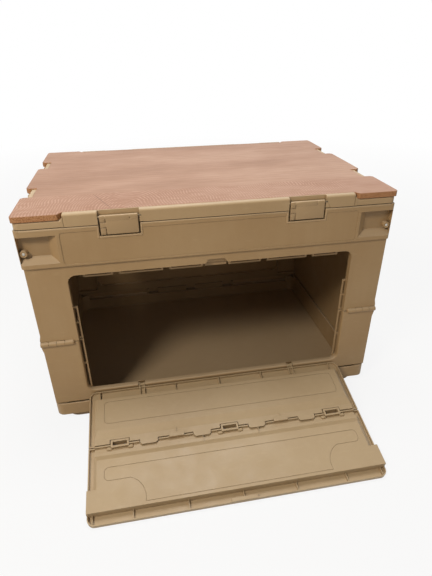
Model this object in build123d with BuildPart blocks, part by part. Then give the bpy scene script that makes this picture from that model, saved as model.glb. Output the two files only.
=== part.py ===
from build123d import *
import os
from math import asin, atan2, cos, degrees, hypot, radians, sin

# Folding camping chuck box: a base tray, four fold-flat walls, a top frame, a latched lid that
# carries a wooden table top, and a two-leaf door in the front wall.
# Millimetres. +Z is up, the door is on the -Y side, and the origin is on the floor under the
# middle of the box. The door is modelled open, with its far edge down on the floor.

# ---------------------------------------------------------------- overall size
overall_length = 530.0  # along X, the table top's long side
overall_width = 364.0  # along Y
overall_height = 355.0  # floor to the table top's upper face

# ---------------------------------------------------------------- clearances
moving_gap = 0.4  # between knuckles and beside anything that turns
running_gap = 0.05  # radial, pin in its bore
parting_gap = 1.0  # lid over frame
fold_gap = 1.2  # between the two leaves of a wall
lip_gap = 0.6  # between the closed door's rim and the stop lips behind it
ring_gap = 1.2  # around a fold ring in its seat

# ---------------------------------------------------------------- base tray
foot_height = 17.0
foot_inset = 12.0  # foot's side behind the rim's side
foot_corner = 20.0
foot_wall = 3.0
trough_core_pitch = 53.0  # hollows under the hinge troughs
trough_core_places = (-4, -3, -2, -1, 0, 1, 2, 3, 4)
floor_thickness = 4.0
rim_height = 39.0  # top of the rim above the floor
rim_inset = 0.6  # rim behind the table top's edge
rim_corner = 12.0
rim_skin = 2.3
base_ledge_height = 27.0  # shelf that the long walls' hinge lugs dip towards
end_ledge_height = 45.0  # shelf under each end panel
end_stop_height = 50.0  # lip outside each end panel
end_stop_skin = 2.0
ledge_skin = 3.0

# ---------------------------------------------------------------- long walls
wall_inset = 3.0  # wall's outer face behind the frame's
wall_end_inset = 2.8
wall_thickness = 10.0
wall_skin = 3.5
wall_lift = 2.0  # lower leaf's bottom edge above the rim
wall_rib = 3.0
hinge_lug_width = 20.0
hinge_lug_radius = 4.0
base_hinge_pitch = 87.0
frame_hinge_pitch = 90.0
hinge_pin_radius = 2.0
hinge_inset = 5.0  # hinge axis behind the wall's outer face
base_hinge_height = 34.0
fold_share = 0.48  # fold line's share of the way from base hinge to frame hinge
bearing_width = 5.0
knuckle_radius = 4.2
knuckle_span = 46.0  # row of four knuckles, measured from the box's end
knuckle_overhang = 1.8  # row's outer end beyond the wall's end
knuckle_pin_radius = 1.75

# ---------------------------------------------------------------- door opening
opening_length = 418.6
opening_corner = 12.0
sill_above_rim = 19.5
strip_under_frame = 16.0  # wall left above the opening
sill_round = 2.5
lip_width = 5.8
lip_thickness = 2.4
lip_strip = 2.4  # width of the strip at the lip's edge, with open slots behind it
lip_post = 3.0
side_lip_drop = 53.0  # side lips end this far under the opening's top
side_lip_lift = 3.5
top_lip_depth = 7.1
top_lips = ((19.0, 68.0), (77.0, 139.0), (147.5, 188.5))
finger_notch_width = 34.0
finger_notch_height = 6.5
finger_notch_depth = 5.0
finger_notch_slant = 5.0
finger_lip_gap = 1.0
blank_recess = 1.2  # rear wall's outer panel outline

# ---------------------------------------------------------------- top frame
frame_height = 55.0
frame_corner = 6.0
frame_skin = 2.7
frame_end_skin = 2.5
frame_deck = 3.5
frame_mouth_inset = 18.0  # frame's inner opening inside its outer face
frame_skirt_depth = 25.0
frame_skirt_skin = 2.5
frame_hinge_rise = 7.5  # wall hinge axis above the frame's bottom
panel_step = 0.7
panel_half_length = 208.5
panel_top_drop = 6.5
panel_bottom_rise = 2.6
panel_corner = 4.0
bead_radius = 1.3
pocket_length = 51.0
pocket_end_skin = 1.5
pocket_top_drop = 9.5
pocket_bottom_rise = 6.0
pocket_depth = 10.8
pocket_ramp = 8.5
pocket_slant = 12.5
pocket_wall = 2.2

# ---------------------------------------------------------------- end panels
rod_end_inset = 7.0  # rod axis inside the frame's end
rod_rise = 21.0  # rod axis above the frame's bottom
rod_radius = 2.0
rod_boss_radius = 4.9
rod_boss_setback = 4.0  # boss's end behind the frame's face
rod_end_setback = 4.5
hanger_pitch = 85.0
hanger_width = 8.0
hanger_radius = 4.5
end_skin = 3.5
end_depth = 9.2
end_knuckle_radius = 3.7
end_rib = 3.0
end_web = 4.0
end_flange_drop = 9.0  # end panel's top flange below the rod
end_lift = 1.5  # end panel's lower edge above its ledge
end_side_gap = 0.6
hand_hold_length = 110.0
hand_hold_height = 32.0
hand_hold_drop = 57.0  # hand hold's middle below the rod

# ---------------------------------------------------------------- lid
lid_skirt_height = 10.0
lid_inset = 1.0
lid_corner = 8.0
lid_plate = 3.0
lid_skin = 3.0
lid_shoulder_round = 3.5
locating_gap = 2.5
locating_skin = 2.5
locating_depth = 11.0
lid_rib = 2.0
lid_rib_pitch = 80.0
band_half_length = 201.5
band_end_round = 3.0
band_round = 3.8
band_gusset_length = 2.0
band_gusset_width = 3.5
lid_notch_depth = 7.5

# ---------------------------------------------------------------- wooden board
board_thickness = 8.0
board_corner = 5.0
board_step_outer = 206.5
board_step_inner = 201.5
board_edge_gap = 1.0
grip_notch_length = 44.0
grip_notch_offset = 80.0
grip_notch_depth = 16.0
grip_notch_chamfer = 4.0
notch_strip_drop = 1.8  # strip bonded in each notch, below the board's top
notch_strip_width = 6.5
notch_strip_gap = 1.0  # to the notch's inner side
notch_strip_end_gap = 0.3
screw_end_inset = 65.0  # outer screws from the board's end
screw_side_inset = 62.0
screw_radius = 1.5
screw_head_radius = 3.4
screw_head_height = 2.2
screw_bite = 5.0
screw_pilot_gap = 0.1
boss_radius = 4.5
boss_height = 6.0

# ---------------------------------------------------------------- latches
latch_offset = 130.0
latch_width = 50.0
latch_recess_width = 54.0
latch_pin_radius = 1.25
latch_pin_reach = 4.0  # pin in the band on each side
latch_knuckle_radius = 2.8
latch_proud = 0.6
latch_plate = 3.0
latch_pivot_drop = 9.0  # pivot below the table top
latch_drop = 23.5  # lever's lower edge below the pivot
latch_recess_floor = 1.8  # recess below the lever's lower edge
latch_recess_depth = 8.6
latch_border = 2.4
latch_back_wall = 1.4
latch_back_gap = 0.3
latch_hook_width = 38.0
latch_hook_reach = 3.4
latch_hook_height = 2.8
catch_height = 3.0
latch_block_width = 7.0
latch_slit = 0.8
latch_finger_facet = 7.7

# ---------------------------------------------------------------- door
door_gap = 1.3  # around the closed door
door_fold_gap = 1.8  # between the two leaves
door_hinge_drop = 4.0  # hinge axis below the sill
door_hinge_offset = 125.5
door_edge_reach = 6.0  # door's lower edge above the axis when closed
door_skin_offset = 4.0  # hinge axis behind the door's outer face
door_skin = 2.0
door_rim = 6.0  # rim's height over the outer face
door_rim_wall = 1.6
door_plateau = 14.0  # plateau's height over the outer face
door_corner = 10.0
door_side_channel = 9.0
door_hinge_channel = 19.0
plateau_shell = 2.2
inner_plateau_end = 8.5  # flange left between the inner leaf's slope and the fold
outer_flange_end = 15.0
fold_strip = 1.8  # outer leaf's edge strip at the fold
trench_width = 8.2  # behind the edge strip
trench_depth = 3.6
flange_drop = 4.0  # flange beside the fold, under the plateau
plateau_round = 1.0
plateau_side_slope = 3.9
inner_fold_slope = 12.5
outer_fold_slope = 8.0
far_channel = 13.0
ear_length = 30.0
ear_offset = 12.0  # ear's far side before the door's far edge
channel_rib = 1.2
hinge_ribs = (0.0, 72.0, 192.0)
far_ribs = (0.0, 75.0, 148.5, 201.0)
finger_lip_width = 36.0
finger_lip_height = 1.5
finger_lip_depth = 4.7
door_arm_width = 9.0
door_arm_cheek = 1.8
door_arm_radius = 3.6
door_arm_barrel = 2.5
door_arm_web = 1.6
door_pin_radius = 1.4
door_pin_half = 10.0
door_floor_gap = 0.7
door_fold_offset = 163.0
door_knuckle_radius = 3.4
door_centre_knuckle = 12.0
door_fold_pin_half = 12.0
ring_length = 26.0
ring_width = 11.4
ring_wall = 2.8
ring_height = 4.0
ring_proud = 1.0
bump_offset = 15.0  # rounded knuckle bump beside each ring
bump_length = 9.0
bump_radius = 2.8
stop_tabs_over_outer = (42.0, 121.0)
stop_tab_over_inner = 80.0
stop_tab_width = 26.0
inner_tab_width = 22.0
tab_thickness = 1.5
tab_gap = 0.6
tab_reach = 5.5
tongue_reach = 7.6  # inner leaf's tongues, level with its flange
tongue_side_gap = 0.9
tongue_pad_gap = 0.4
tick_width = 1.0  # small rib in line with a tab
tick_proud = 1.2
line_width = 0.7
line_depth = 0.5
line_inset = 14.5
line_margin = 9.5
line_hinge_margin = 7.0  # inner leaf's line, beside the hinge channel
line_wide_margin = 12.5
line_corner = 6.0
line_notch = 35.0
line_notch_run = 19.0

# ---------------------------------------------------------------- worked out heights
board_bottom = overall_height - board_thickness
lid_bottom = board_bottom - lid_skirt_height
frame_top = lid_bottom - parting_gap
frame_bottom = frame_top - frame_height
frame_hinge_height = frame_bottom + frame_hinge_rise
fold_height = base_hinge_height + fold_share * (frame_hinge_height - base_hinge_height)
wall_bottom = rim_height + wall_lift
wall_top = frame_bottom - moving_gap
sill_height = rim_height + sill_above_rim
opening_top = frame_bottom - strip_under_frame
rod_height = frame_bottom + rod_rise
latch_pivot_height = overall_height - latch_pivot_drop
latch_bottom = latch_pivot_height - latch_drop
latch_recess_bottom = latch_bottom - latch_recess_floor

# ---------------------------------------------------------------- worked out plan sizes
half_length = overall_length / 2
half_width = overall_width / 2
rim_half_length = half_length - rim_inset
rim_half_width = half_width - rim_inset
foot_half_length = rim_half_length - foot_inset
foot_half_width = rim_half_width - foot_inset
wall_face = half_width - wall_inset
wall_back = wall_face - wall_thickness
wall_half_length = half_length - wall_end_inset
hinge_line = wall_face - hinge_inset
opening_half = opening_length / 2
frame_inside = half_width - frame_skin
frame_inside_end = half_length - frame_end_skin
mouth_half_length = half_length - frame_mouth_inset
mouth_half_width = half_width - frame_mouth_inset
pocket_back = half_width - pocket_depth
rod_line = half_length - rod_end_inset
end_half_width = wall_back - end_side_gap
end_face = rod_line + end_knuckle_radius
latch_pivot_line = half_width + latch_proud - latch_knuckle_radius
latch_back_face = latch_pivot_line - latch_knuckle_radius - latch_back_gap
band_back = latch_back_face - latch_back_wall
knuckle_outer = wall_half_length + knuckle_overhang
base_hinge_places = [place * base_hinge_pitch for place in (-1, 0, 1)]
frame_hinge_places = [place * frame_hinge_pitch for place in (-2, -1, 0, 1, 2)]

# ---------------------------------------------------------------- worked out door
door_axis_height = sill_height - door_hinge_drop
door_axis_line = -(wall_face - door_skin_offset)
door_half = opening_half - door_gap
door_reach = opening_top - door_gap - door_axis_height  # axis to the far edge
fold_reach = fold_height - door_axis_height  # axis to the fold line
door_drop = degrees(
    asin((door_axis_height - door_floor_gap) / hypot(door_reach, door_skin_offset))
    - atan2(door_skin_offset, door_reach)
)
door_outer_face = -door_skin_offset
door_skin_top = door_outer_face + door_skin
door_rim_top = door_outer_face + door_rim
door_plateau_top = door_outer_face + door_plateau
# Local axes of the open door: x along the box, -y from the hinge to the far edge, z out of the
# leaf's inner face. The hinge axis is the origin.
door_plane = Plane(
    origin=(0, door_axis_line, door_axis_height),
    x_dir=(1, 0, 0),
    z_dir=(0, -sin(radians(door_drop)), cos(radians(door_drop))),
)


# ---------------------------------------------------------------- small helpers
def block(x, y, z, mode=Mode.ADD):
    """Add or cut a block, given its two limits along each axis in any order."""
    centre = (sum(x) / 2, sum(y) / 2, sum(z) / 2)
    with Locations(centre):
        Box(abs(x[1] - x[0]), abs(y[1] - y[0]), abs(z[1] - z[0]), mode=mode)


def rod_x(x, y, z, radius, mode=Mode.ADD):
    """Add or cut a round bar along X between the two limits in x."""
    with Locations((sum(x) / 2, y, z)):
        Cylinder(radius, abs(x[1] - x[0]), rotation=(0, 90, 0), mode=mode)


def rod_y(x, y, z, radius, mode=Mode.ADD):
    """Add or cut a round bar along Y between the two limits in y."""
    with Locations((x, sum(y) / 2, z)):
        Cylinder(radius, abs(y[1] - y[0]), rotation=(90, 0, 0), mode=mode)


def spread(middle, width):
    """Limits of a span of the given width around a middle."""
    return (middle - width / 2, middle + width / 2)


def bearing_bars(places):
    """X limits of the bearing bars between and beside a row of hinge lugs."""
    near = hinge_lug_width / 2 + moving_gap
    bars = [(left + near, right - near) for left, right in zip(places, places[1:])]
    bars.append((places[0] - near - bearing_width, places[0] - near))
    bars.append((places[-1] + near, places[-1] + near + bearing_width))
    return bars


def write(part, name):
    """Label a finished piece and write its STEP file."""
    part.label = name
    export_step(part, f"parts/{name}.step")


os.makedirs("parts", exist_ok=True)


# ---------------------------------------------------------------- base tray
with BuildPart() as base_tray:
    with BuildSketch():
        RectangleRounded(2 * foot_half_length, 2 * foot_half_width, foot_corner)
    extrude(amount=foot_height + ledge_skin)
    fillet(base_tray.edges().group_by(Axis.Z)[0], radius=2.5)
    with BuildSketch(Plane.XY.offset(foot_height)):
        RectangleRounded(2 * rim_half_length, 2 * rim_half_width, rim_corner)
    extrude(amount=rim_height - foot_height)
    fillet(base_tray.faces().sort_by(Axis.Z)[-1].outer_wire().edges(), radius=0.8)
    for end in (-1, 1):
        ledge_x = (end * (foot_half_length - foot_wall), end * rim_half_length)
        stop_x = (end * (rim_half_length - end_stop_skin), end * rim_half_length)
        block(ledge_x, spread(0, 2 * end_half_width - 8), (rim_height - 1, end_ledge_height))
        block(stop_x, spread(0, 2 * end_half_width - 8), (rim_height - 1, end_stop_height))
        # hollow under the end ledge
        core_x = (end * (foot_half_length + 0.8), end * (rim_half_length - end_stop_skin))
        block(core_x, spread(0, 2 * end_half_width - 14), (0, end_ledge_height - ledge_skin), Mode.SUBTRACT)
    with BuildSketch(Plane.XY.offset(floor_thickness)):
        RectangleRounded(
            2 * (foot_half_length - foot_wall), 2 * (foot_half_width - foot_wall), foot_corner - foot_wall
        )
    extrude(amount=end_stop_height, mode=Mode.SUBTRACT)
    for side in (-1, 1):
        # trough for the wall's hinge lugs
        trough_y = (side * (foot_half_width - foot_wall), side * (rim_half_width - rim_skin))
        trough_x = spread(0, 2 * (rim_half_length - 1.5 * rim_corner))
        block(trough_x, trough_y, (base_ledge_height, end_stop_height), Mode.SUBTRACT)
        # hollow under the trough, between stiffening ribs
        core_y = (side * (foot_half_width + 0.8), side * (rim_half_width - rim_skin))
        for place in trough_core_places:
            core_x = spread(place * trough_core_pitch, trough_core_pitch - wall_rib)
            block(core_x, core_y, (0, base_ledge_height - ledge_skin), Mode.SUBTRACT)
        bearing_y = (side * (rim_half_width - rim_skin), side * (hinge_line - hinge_lug_radius))
        for bearing_x in bearing_bars(base_hinge_places):
            block(bearing_x, bearing_y, (base_ledge_height, wall_bottom - wall_lift))
        for place in base_hinge_places:
            bore_x = spread(place, hinge_lug_width + 2 * (moving_gap + bearing_width))
            bore = hinge_pin_radius + running_gap
            rod_x(bore_x, side * hinge_line, base_hinge_height, bore, Mode.SUBTRACT)
write(base_tray.part, "base_tray")


# ---------------------------------------------------------------- long walls
def knuckle_spans(hand):
    """X limits of the four knuckles of one fold hinge, outermost first."""
    step = (knuckle_span - 3 * moving_gap) / 4
    spans = []
    for index in range(4):
        outer = knuckle_outer - index * (step + moving_gap)
        spans.append((hand * outer, hand * (outer - step)))
    return spans


def fold_knuckles(side, own):
    """Add a leaf's own knuckles at both ends and clear the other leaf's."""
    for hand in (-1, 1):
        spans = knuckle_spans(hand)
        for index, span in enumerate(spans):
            if index % 2 != own:
                wide = (span[0] + hand * moving_gap, span[1] - hand * moving_gap)
                clear = knuckle_radius + moving_gap
                rod_x(wide, side * wall_face, fold_height, clear, Mode.SUBTRACT)
        for index, span in enumerate(spans):
            if index % 2 == own:
                rod_x(span, side * wall_face, fold_height, knuckle_radius)
        row = (hand * (knuckle_outer + 1), hand * (knuckle_outer - knuckle_span - 1))
        bore = knuckle_pin_radius + running_gap
        rod_x(row, side * wall_face, fold_height, bore, Mode.SUBTRACT)


def hinge_lugs(side, places, axis_height, edge_height):
    """Add the lugs that carry a leaf on its base or frame hinge."""
    inward = 1.0 if edge_height > axis_height else -1.0
    for place in places:
        span = spread(place, hinge_lug_width)
        lug_y = (side * (hinge_line - hinge_lug_radius), side * (hinge_line + hinge_lug_radius))
        block(span, lug_y, (axis_height, edge_height + inward))
        rod_x(span, side * hinge_line, axis_height, hinge_lug_radius)
        rod_x(span, side * hinge_line, axis_height, hinge_pin_radius + running_gap, Mode.SUBTRACT)


def pillar_cores(side, bottom, top):
    """Hollow both end pillars of a leaf from the inside, in two pockets each."""
    middle = (bottom + top) / 2
    for hand in (-1, 1):
        core_x = (hand * (opening_half + wall_rib), hand * (wall_half_length - wall_rib))
        core_y = (side * (wall_back - 1), side * (wall_face - wall_skin))
        block(core_x, core_y, (bottom, middle - wall_rib / 2), Mode.SUBTRACT)
        block(core_x, core_y, (middle + wall_rib / 2, top), Mode.SUBTRACT)


def leaf_slab(side, bottom, top):
    """Add a wall leaf's plain slab."""
    block(spread(0, 2 * wall_half_length), (side * wall_back, side * wall_face), (bottom, top))


def fold_shoulders(side, own):
    """Widen both ends of a leaf beside its fold, where the knuckle row starts."""
    away = -1.0 if own == 0 else 1.0
    near = fold_height + away * fold_gap / 2
    for hand in (-1, 1):
        with BuildSketch(Plane.XZ.offset(-side * wall_face)) as shoulder:
            with BuildLine():
                Polyline(
                    (hand * (wall_half_length - 1), near),
                    (hand * knuckle_outer, near),
                    (hand * knuckle_outer, near + away * 7),
                    (hand * wall_half_length, near + away * 15),
                    (hand * (wall_half_length - 1), near + away * 15),
                    close=True,
                )
            make_face()
        extrude(shoulder.sketch, amount=side * wall_skin)


def opening_prism(face_low, face_high, grow=0.0, mode=Mode.SUBTRACT):
    """Cut or add the door opening's rounded outline between two Y limits."""
    height = opening_top - sill_height + 2 * grow
    middle = (opening_top + sill_height) / 2
    with BuildSketch(Plane.XZ.offset(-face_low)) as outline:
        with Locations((0, middle)):
            RectangleRounded(opening_length + 2 * grow, height, opening_corner + grow)
    extrude(outline.sketch, amount=face_low - face_high, mode=mode)


lower_leaf_top = fold_height - fold_gap / 2
upper_leaf_bottom = fold_height + fold_gap / 2
lip_front = wall_face - door_rim - lip_gap
lip_y = (-lip_front, -(lip_front - lip_thickness))
side_lip_bottom = sill_height + side_lip_lift
side_lip_top = opening_top - side_lip_drop


def side_lip(hand, low, high):
    """Add one upright stop strip beside the opening, held off the jamb by three posts."""
    edge = opening_half - lip_width
    block((hand * edge, hand * (edge + lip_strip)), lip_y, (low, high))
    for place in (low + lip_post / 2, (low + high) / 2, high - lip_post / 2):
        block((hand * edge, hand * (opening_half + 1)), lip_y, spread(place, lip_post))


def top_lip(hand, near, far):
    """Add one level stop strip under the opening's top, held by a post at each end."""
    low = opening_top - top_lip_depth
    block((hand * near, hand * far), lip_y, (low, low + lip_strip))
    for place in (near + lip_post / 2, far - lip_post / 2):
        block(spread(hand * place, lip_post), lip_y, (low, opening_top + 1))


with BuildPart() as front_lower_wall:
    leaf_slab(-1, wall_bottom, lower_leaf_top)
    pillar_cores(-1, wall_bottom + 8, lower_leaf_top - 8)
    opening_prism(-wall_face - 1, -wall_back + 1)
    sill_edges = (
        front_lower_wall.edges()
        .filter_by(Axis.X)
        .filter_by(lambda edge: abs(edge.center().Z - sill_height) < 0.01 and abs(edge.center().X) < 1)
    )
    fillet(sill_edges, radius=sill_round)
    for hand in (-1, 1):
        side_lip(hand, side_lip_bottom, lower_leaf_top)
        notch_x = spread(hand * door_hinge_offset, door_arm_width + 2 * (moving_gap + 0.3))
        notch_bottom = door_axis_height - door_arm_radius - 2.4
        notch_y = (-wall_face - 1, door_axis_line + door_arm_radius + 1)
        block(notch_x, notch_y, (notch_bottom, sill_height + 1), Mode.SUBTRACT)
        bore_x = spread(hand * door_hinge_offset, 2 * door_pin_half)
        bore = door_pin_radius + running_gap
        rod_x(bore_x, door_axis_line, door_axis_height, bore, Mode.SUBTRACT)
    fold_shoulders(-1, 0)
    fold_knuckles(-1, 0)
    hinge_lugs(-1, base_hinge_places, base_hinge_height, wall_bottom)
write(front_lower_wall.part, "front_lower_wall")

with BuildPart() as front_upper_wall:
    leaf_slab(-1, upper_leaf_bottom, wall_top)
    pillar_cores(-1, upper_leaf_bottom + 8, wall_top - 8)
    opening_prism(-wall_face - 1, -wall_back + 1)
    for hand in (-1, 1):
        side_lip(hand, upper_leaf_bottom, side_lip_top)
        for near, far in top_lips:
            top_lip(hand, near, far)
    with BuildSketch(Plane.XZ.offset(wall_face)):
        with BuildLine():
            notch_half = finger_notch_width / 2
            Polyline(
                (-notch_half, opening_top - 1),
                (-notch_half + finger_notch_slant, opening_top + finger_notch_height),
                (notch_half - finger_notch_slant, opening_top + finger_notch_height),
                (notch_half, opening_top - 1),
                close=True,
            )
        make_face()
    extrude(amount=-finger_notch_depth, mode=Mode.SUBTRACT)
    finger_lip_z = (opening_top - top_lip_depth, opening_top + 1)
    finger_lip_y = (-(lip_front - finger_lip_height), -wall_back)
    block(spread(0, 2 * (notch_half - finger_lip_gap)), finger_lip_y, finger_lip_z)
    fold_shoulders(-1, 1)
    fold_knuckles(-1, 1)
    hinge_lugs(-1, frame_hinge_places, frame_hinge_height, wall_top)
write(front_upper_wall.part, "front_upper_wall")

with BuildPart() as rear_lower_wall:
    leaf_slab(1, wall_bottom, lower_leaf_top)
    pillar_cores(1, wall_bottom + 8, lower_leaf_top - 8)
    opening_prism(wall_face - wall_skin, wall_back - 1)
    opening_prism(wall_face + 1, wall_face - blank_recess, grow=-4)
    fold_shoulders(1, 0)
    fold_knuckles(1, 0)
    hinge_lugs(1, base_hinge_places, base_hinge_height, wall_bottom)
write(rear_lower_wall.part, "rear_lower_wall")

with BuildPart() as rear_upper_wall:
    leaf_slab(1, upper_leaf_bottom, wall_top)
    pillar_cores(1, upper_leaf_bottom + 8, wall_top - 8)
    opening_prism(wall_face - wall_skin, wall_back - 1)
    opening_prism(wall_face + 1, wall_face - blank_recess, grow=-4)
    fold_shoulders(1, 1)
    fold_knuckles(1, 1)
    hinge_lugs(1, frame_hinge_places, frame_hinge_height, wall_top)
write(rear_upper_wall.part, "rear_upper_wall")

for side, side_name in ((-1, "front"), (1, "rear")):
    with BuildPart() as fold_pins:
        for hand in (-1, 1):
            pin_x = (hand * (knuckle_outer - 0.5), hand * (knuckle_outer - knuckle_span + 0.5))
            rod_x(pin_x, side * wall_face, fold_height, knuckle_pin_radius)
    write(fold_pins.part, f"{side_name}_fold_pins")
    levels = (
        ("base", base_hinge_places, base_hinge_height),
        ("frame", frame_hinge_places, frame_hinge_height),
    )
    for level, places, height in levels:
        with BuildPart() as hinge_pins:
            for place in places:
                pin_x = spread(place, hinge_lug_width + 2 * (moving_gap + bearing_width))
                rod_x(pin_x, side * hinge_line, height, hinge_pin_radius)
        write(hinge_pins.part, f"{side_name}_{level}_hinge_pins")


# ---------------------------------------------------------------- top frame
with BuildPart() as top_frame:
    with BuildSketch(Plane.XY.offset(frame_bottom)):
        RectangleRounded(overall_length, overall_width, frame_corner)
    extrude(amount=frame_height)
    fillet(top_frame.edges().group_by(Axis.Z)[-1], radius=0.8)
    with BuildSketch(Plane.XY.offset(frame_bottom)):
        Rectangle(2 * frame_inside_end, 2 * frame_inside)
    extrude(amount=frame_height - frame_deck, mode=Mode.SUBTRACT)
    with BuildSketch(Plane.XY.offset(frame_top - frame_skirt_depth)):
        Rectangle(2 * (mouth_half_length + frame_skirt_skin), 2 * (mouth_half_width + frame_skirt_skin))
    extrude(amount=frame_skirt_depth)
    block(
        spread(0, 2 * mouth_half_length),
        spread(0, 2 * mouth_half_width),
        (frame_bottom, frame_top + 1),
        Mode.SUBTRACT,
    )
    for side in (-1, 1):
        # shallow panel between the corner pockets
        with BuildSketch(Plane.XZ.offset(-side * half_width)):
            panel_low = frame_bottom + panel_bottom_rise
            panel_high = frame_top - panel_top_drop
            with Locations((0, (panel_low + panel_high) / 2)):
                RectangleRounded(2 * panel_half_length, panel_high - panel_low, panel_corner)
        extrude(amount=side * panel_step, mode=Mode.SUBTRACT)
        bead_y = side * (half_width - bead_radius)
        rod_x(spread(0, 2 * panel_half_length), bead_y, frame_bottom + bead_radius, bead_radius)
        for hand in (-1, 1):
            # corner pocket: a block, hollowed from the face, with a sloping floor and end
            pocket_outer = half_length - pocket_end_skin
            pocket_inner = pocket_outer - pocket_length
            pocket_low = frame_bottom + pocket_bottom_rise
            pocket_high = frame_top - pocket_top_drop
            block(
                (hand * (pocket_inner - 3), hand * (half_length - 1)),
                (side * (pocket_back - pocket_wall), side * (half_width - 1)),
                (frame_bottom + 2.5, pocket_high + 2),
            )
            with BuildSketch(Plane.XY.offset(pocket_low)):
                with BuildLine():
                    Polyline(
                        (hand * pocket_inner, side * (half_width + 1)),
                        (hand * pocket_outer, side * (half_width + 1)),
                        (hand * pocket_outer, side * pocket_back),
                        (hand * (pocket_inner + pocket_slant), side * pocket_back),
                        (hand * pocket_inner, side * half_width),
                        close=True,
                    )
                make_face()
            extrude(amount=pocket_high - pocket_low, mode=Mode.SUBTRACT)
            with BuildSketch(Plane.YZ.offset(hand * (pocket_inner - 1))):
                with BuildLine():
                    Polyline(
                        (side * half_width, pocket_low),
                        (side * (pocket_back - 0.5), pocket_low),
                        (side * (pocket_back - 0.5), pocket_low + pocket_ramp),
                        (side * pocket_back, pocket_low + pocket_ramp),
                        close=True,
                    )
                make_face()
            extrude(amount=hand * (pocket_length + 1.5))
            rod_y(
                hand * rod_line,
                (side * (pocket_back - pocket_wall), side * (half_width - rod_boss_setback)),
                rod_height,
                rod_boss_radius,
            )
            rod_y(
                hand * rod_line,
                (side * (pocket_back - pocket_wall - 1), side * half_width),
                rod_height,
                rod_radius + running_gap,
                Mode.SUBTRACT,
            )
            # latch recess with its raised border, and the catch inside it
            border_x = spread(hand * latch_offset, latch_recess_width + 2 * latch_border)
            recess_x = spread(hand * latch_offset, latch_recess_width)
            block(
                border_x,
                (side * (half_width - latch_recess_depth - 2), side * half_width),
                (latch_recess_bottom - latch_border, frame_top - frame_deck + 1),
            )
            block(
                recess_x,
                (side * (half_width - latch_recess_depth), side * (half_width + 1)),
                (latch_recess_bottom, frame_top + 1),
                Mode.SUBTRACT,
            )
            catch_low = latch_bottom + 0.3 + latch_hook_height + moving_gap
            catch_y = half_width + latch_proud - latch_plate - 2 * moving_gap - 1.4
            block(
                spread(hand * latch_offset, latch_hook_width + 4),
                (side * (half_width - latch_recess_depth - 0.5), side * catch_y),
                (catch_low, catch_low + catch_height),
            )
        for place in frame_hinge_places:
            for hand in (-1, 1):
                near = hinge_lug_width / 2 + moving_gap
                bearing_x = (place + hand * near, place + hand * (near + bearing_width))
                bearing_y = (side * (frame_inside + 0.5), side * (hinge_line - hinge_lug_radius))
                block(bearing_x, bearing_y, (frame_bottom + 0.3, frame_hinge_height + 5))
            bore_x = spread(place, hinge_lug_width + 2 * (moving_gap + bearing_width))
            bore = hinge_pin_radius + running_gap
            rod_x(bore_x, side * hinge_line, frame_hinge_height, bore, Mode.SUBTRACT)
    for end in (-1, 1):
        for place in (-hanger_pitch, 0.0, hanger_pitch):
            hanger_y = spread(place, hanger_width)
            hanger_x = (end * (rod_line - hanger_radius), end * (frame_inside_end + 0.5))
            block(hanger_x, hanger_y, (rod_height, frame_top - frame_deck + 1))
            rod_y(end * rod_line, hanger_y, rod_height, hanger_radius)
            rod_y(end * rod_line, hanger_y, rod_height, rod_radius + running_gap, Mode.SUBTRACT)
    with BuildSketch(Plane.XY.offset(frame_bottom)):
        RectangleRounded(overall_length, overall_width, frame_corner)
    extrude(amount=frame_height, mode=Mode.INTERSECT)
write(top_frame.part, "top_frame")


# ---------------------------------------------------------------- end panels and their rods
end_bottom = end_ledge_height + end_lift
end_top = rod_height - end_flange_drop
for end, end_name in ((-1, "left"), (1, "right")):
    inner_face = end_face - end_depth
    skin_x = (end * inner_face, end * (inner_face + end_skin))
    rib_x = (end * (inner_face + 1), end * end_face)
    with BuildPart() as end_panel:
        block(skin_x, spread(0, 2 * end_half_width), (end_bottom, end_top))
        for edge in (-1, 1):
            edge_y = (edge * end_half_width, edge * (end_half_width - end_rib))
            block(rib_x, edge_y, (end_bottom, end_top))
            block(rib_x, spread(edge * end_half_width / 2, end_rib), (end_bottom, end_top))
        for height in (end_bottom, (end_bottom + end_top) / 2 - end_rib, end_top - end_rib):
            block(rib_x, spread(0, 2 * end_half_width), (height, height + end_rib))
        web_x = spread(end * rod_line, end_web)
        block(web_x, spread(0, 2 * end_half_width), (end_top - 1, rod_height))
        knuckle_y = spread(0, 2 * end_half_width)
        rod_y(end * rod_line, knuckle_y, rod_height, end_knuckle_radius)
        for place in (-hanger_pitch, 0.0, hanger_pitch):
            gap_y = spread(place, hanger_width + 2 * (moving_gap + 0.2))
            gap_x = (end * (end_face + 1), end * (end_face - end_depth - 1))
            block(gap_x, gap_y, (rod_height - hanger_radius - 2, rod_height + 6), Mode.SUBTRACT)
        rod_y(end * rod_line, knuckle_y, rod_height, rod_radius + running_gap, Mode.SUBTRACT)
        # hand hold: a collar, then the slot through it
        hold_middle = rod_height - hand_hold_drop
        hold_plane = Plane.YZ.offset(end * (end_face - end_depth))
        with BuildSketch(hold_plane):
            with Locations((0, hold_middle)):
                RectangleRounded(hand_hold_length + 2 * end_rib, hand_hold_height + 2 * end_rib, 17)
        extrude(amount=end * (end_depth - 1))
        with BuildSketch(Plane.YZ.offset(end * (end_face - end_depth - 1))):
            with Locations((0, hold_middle)):
                RectangleRounded(hand_hold_length, hand_hold_height, 14)
        extrude(amount=end * (end_depth + 2), mode=Mode.SUBTRACT)
    write(end_panel.part, f"{end_name}_end_panel")

    with BuildPart() as end_rod:
        rod_y(end * rod_line, spread(0, 2 * (half_width - rod_end_setback)), rod_height, rod_radius)
    write(end_rod.part, f"{end_name}_end_rod")


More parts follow.
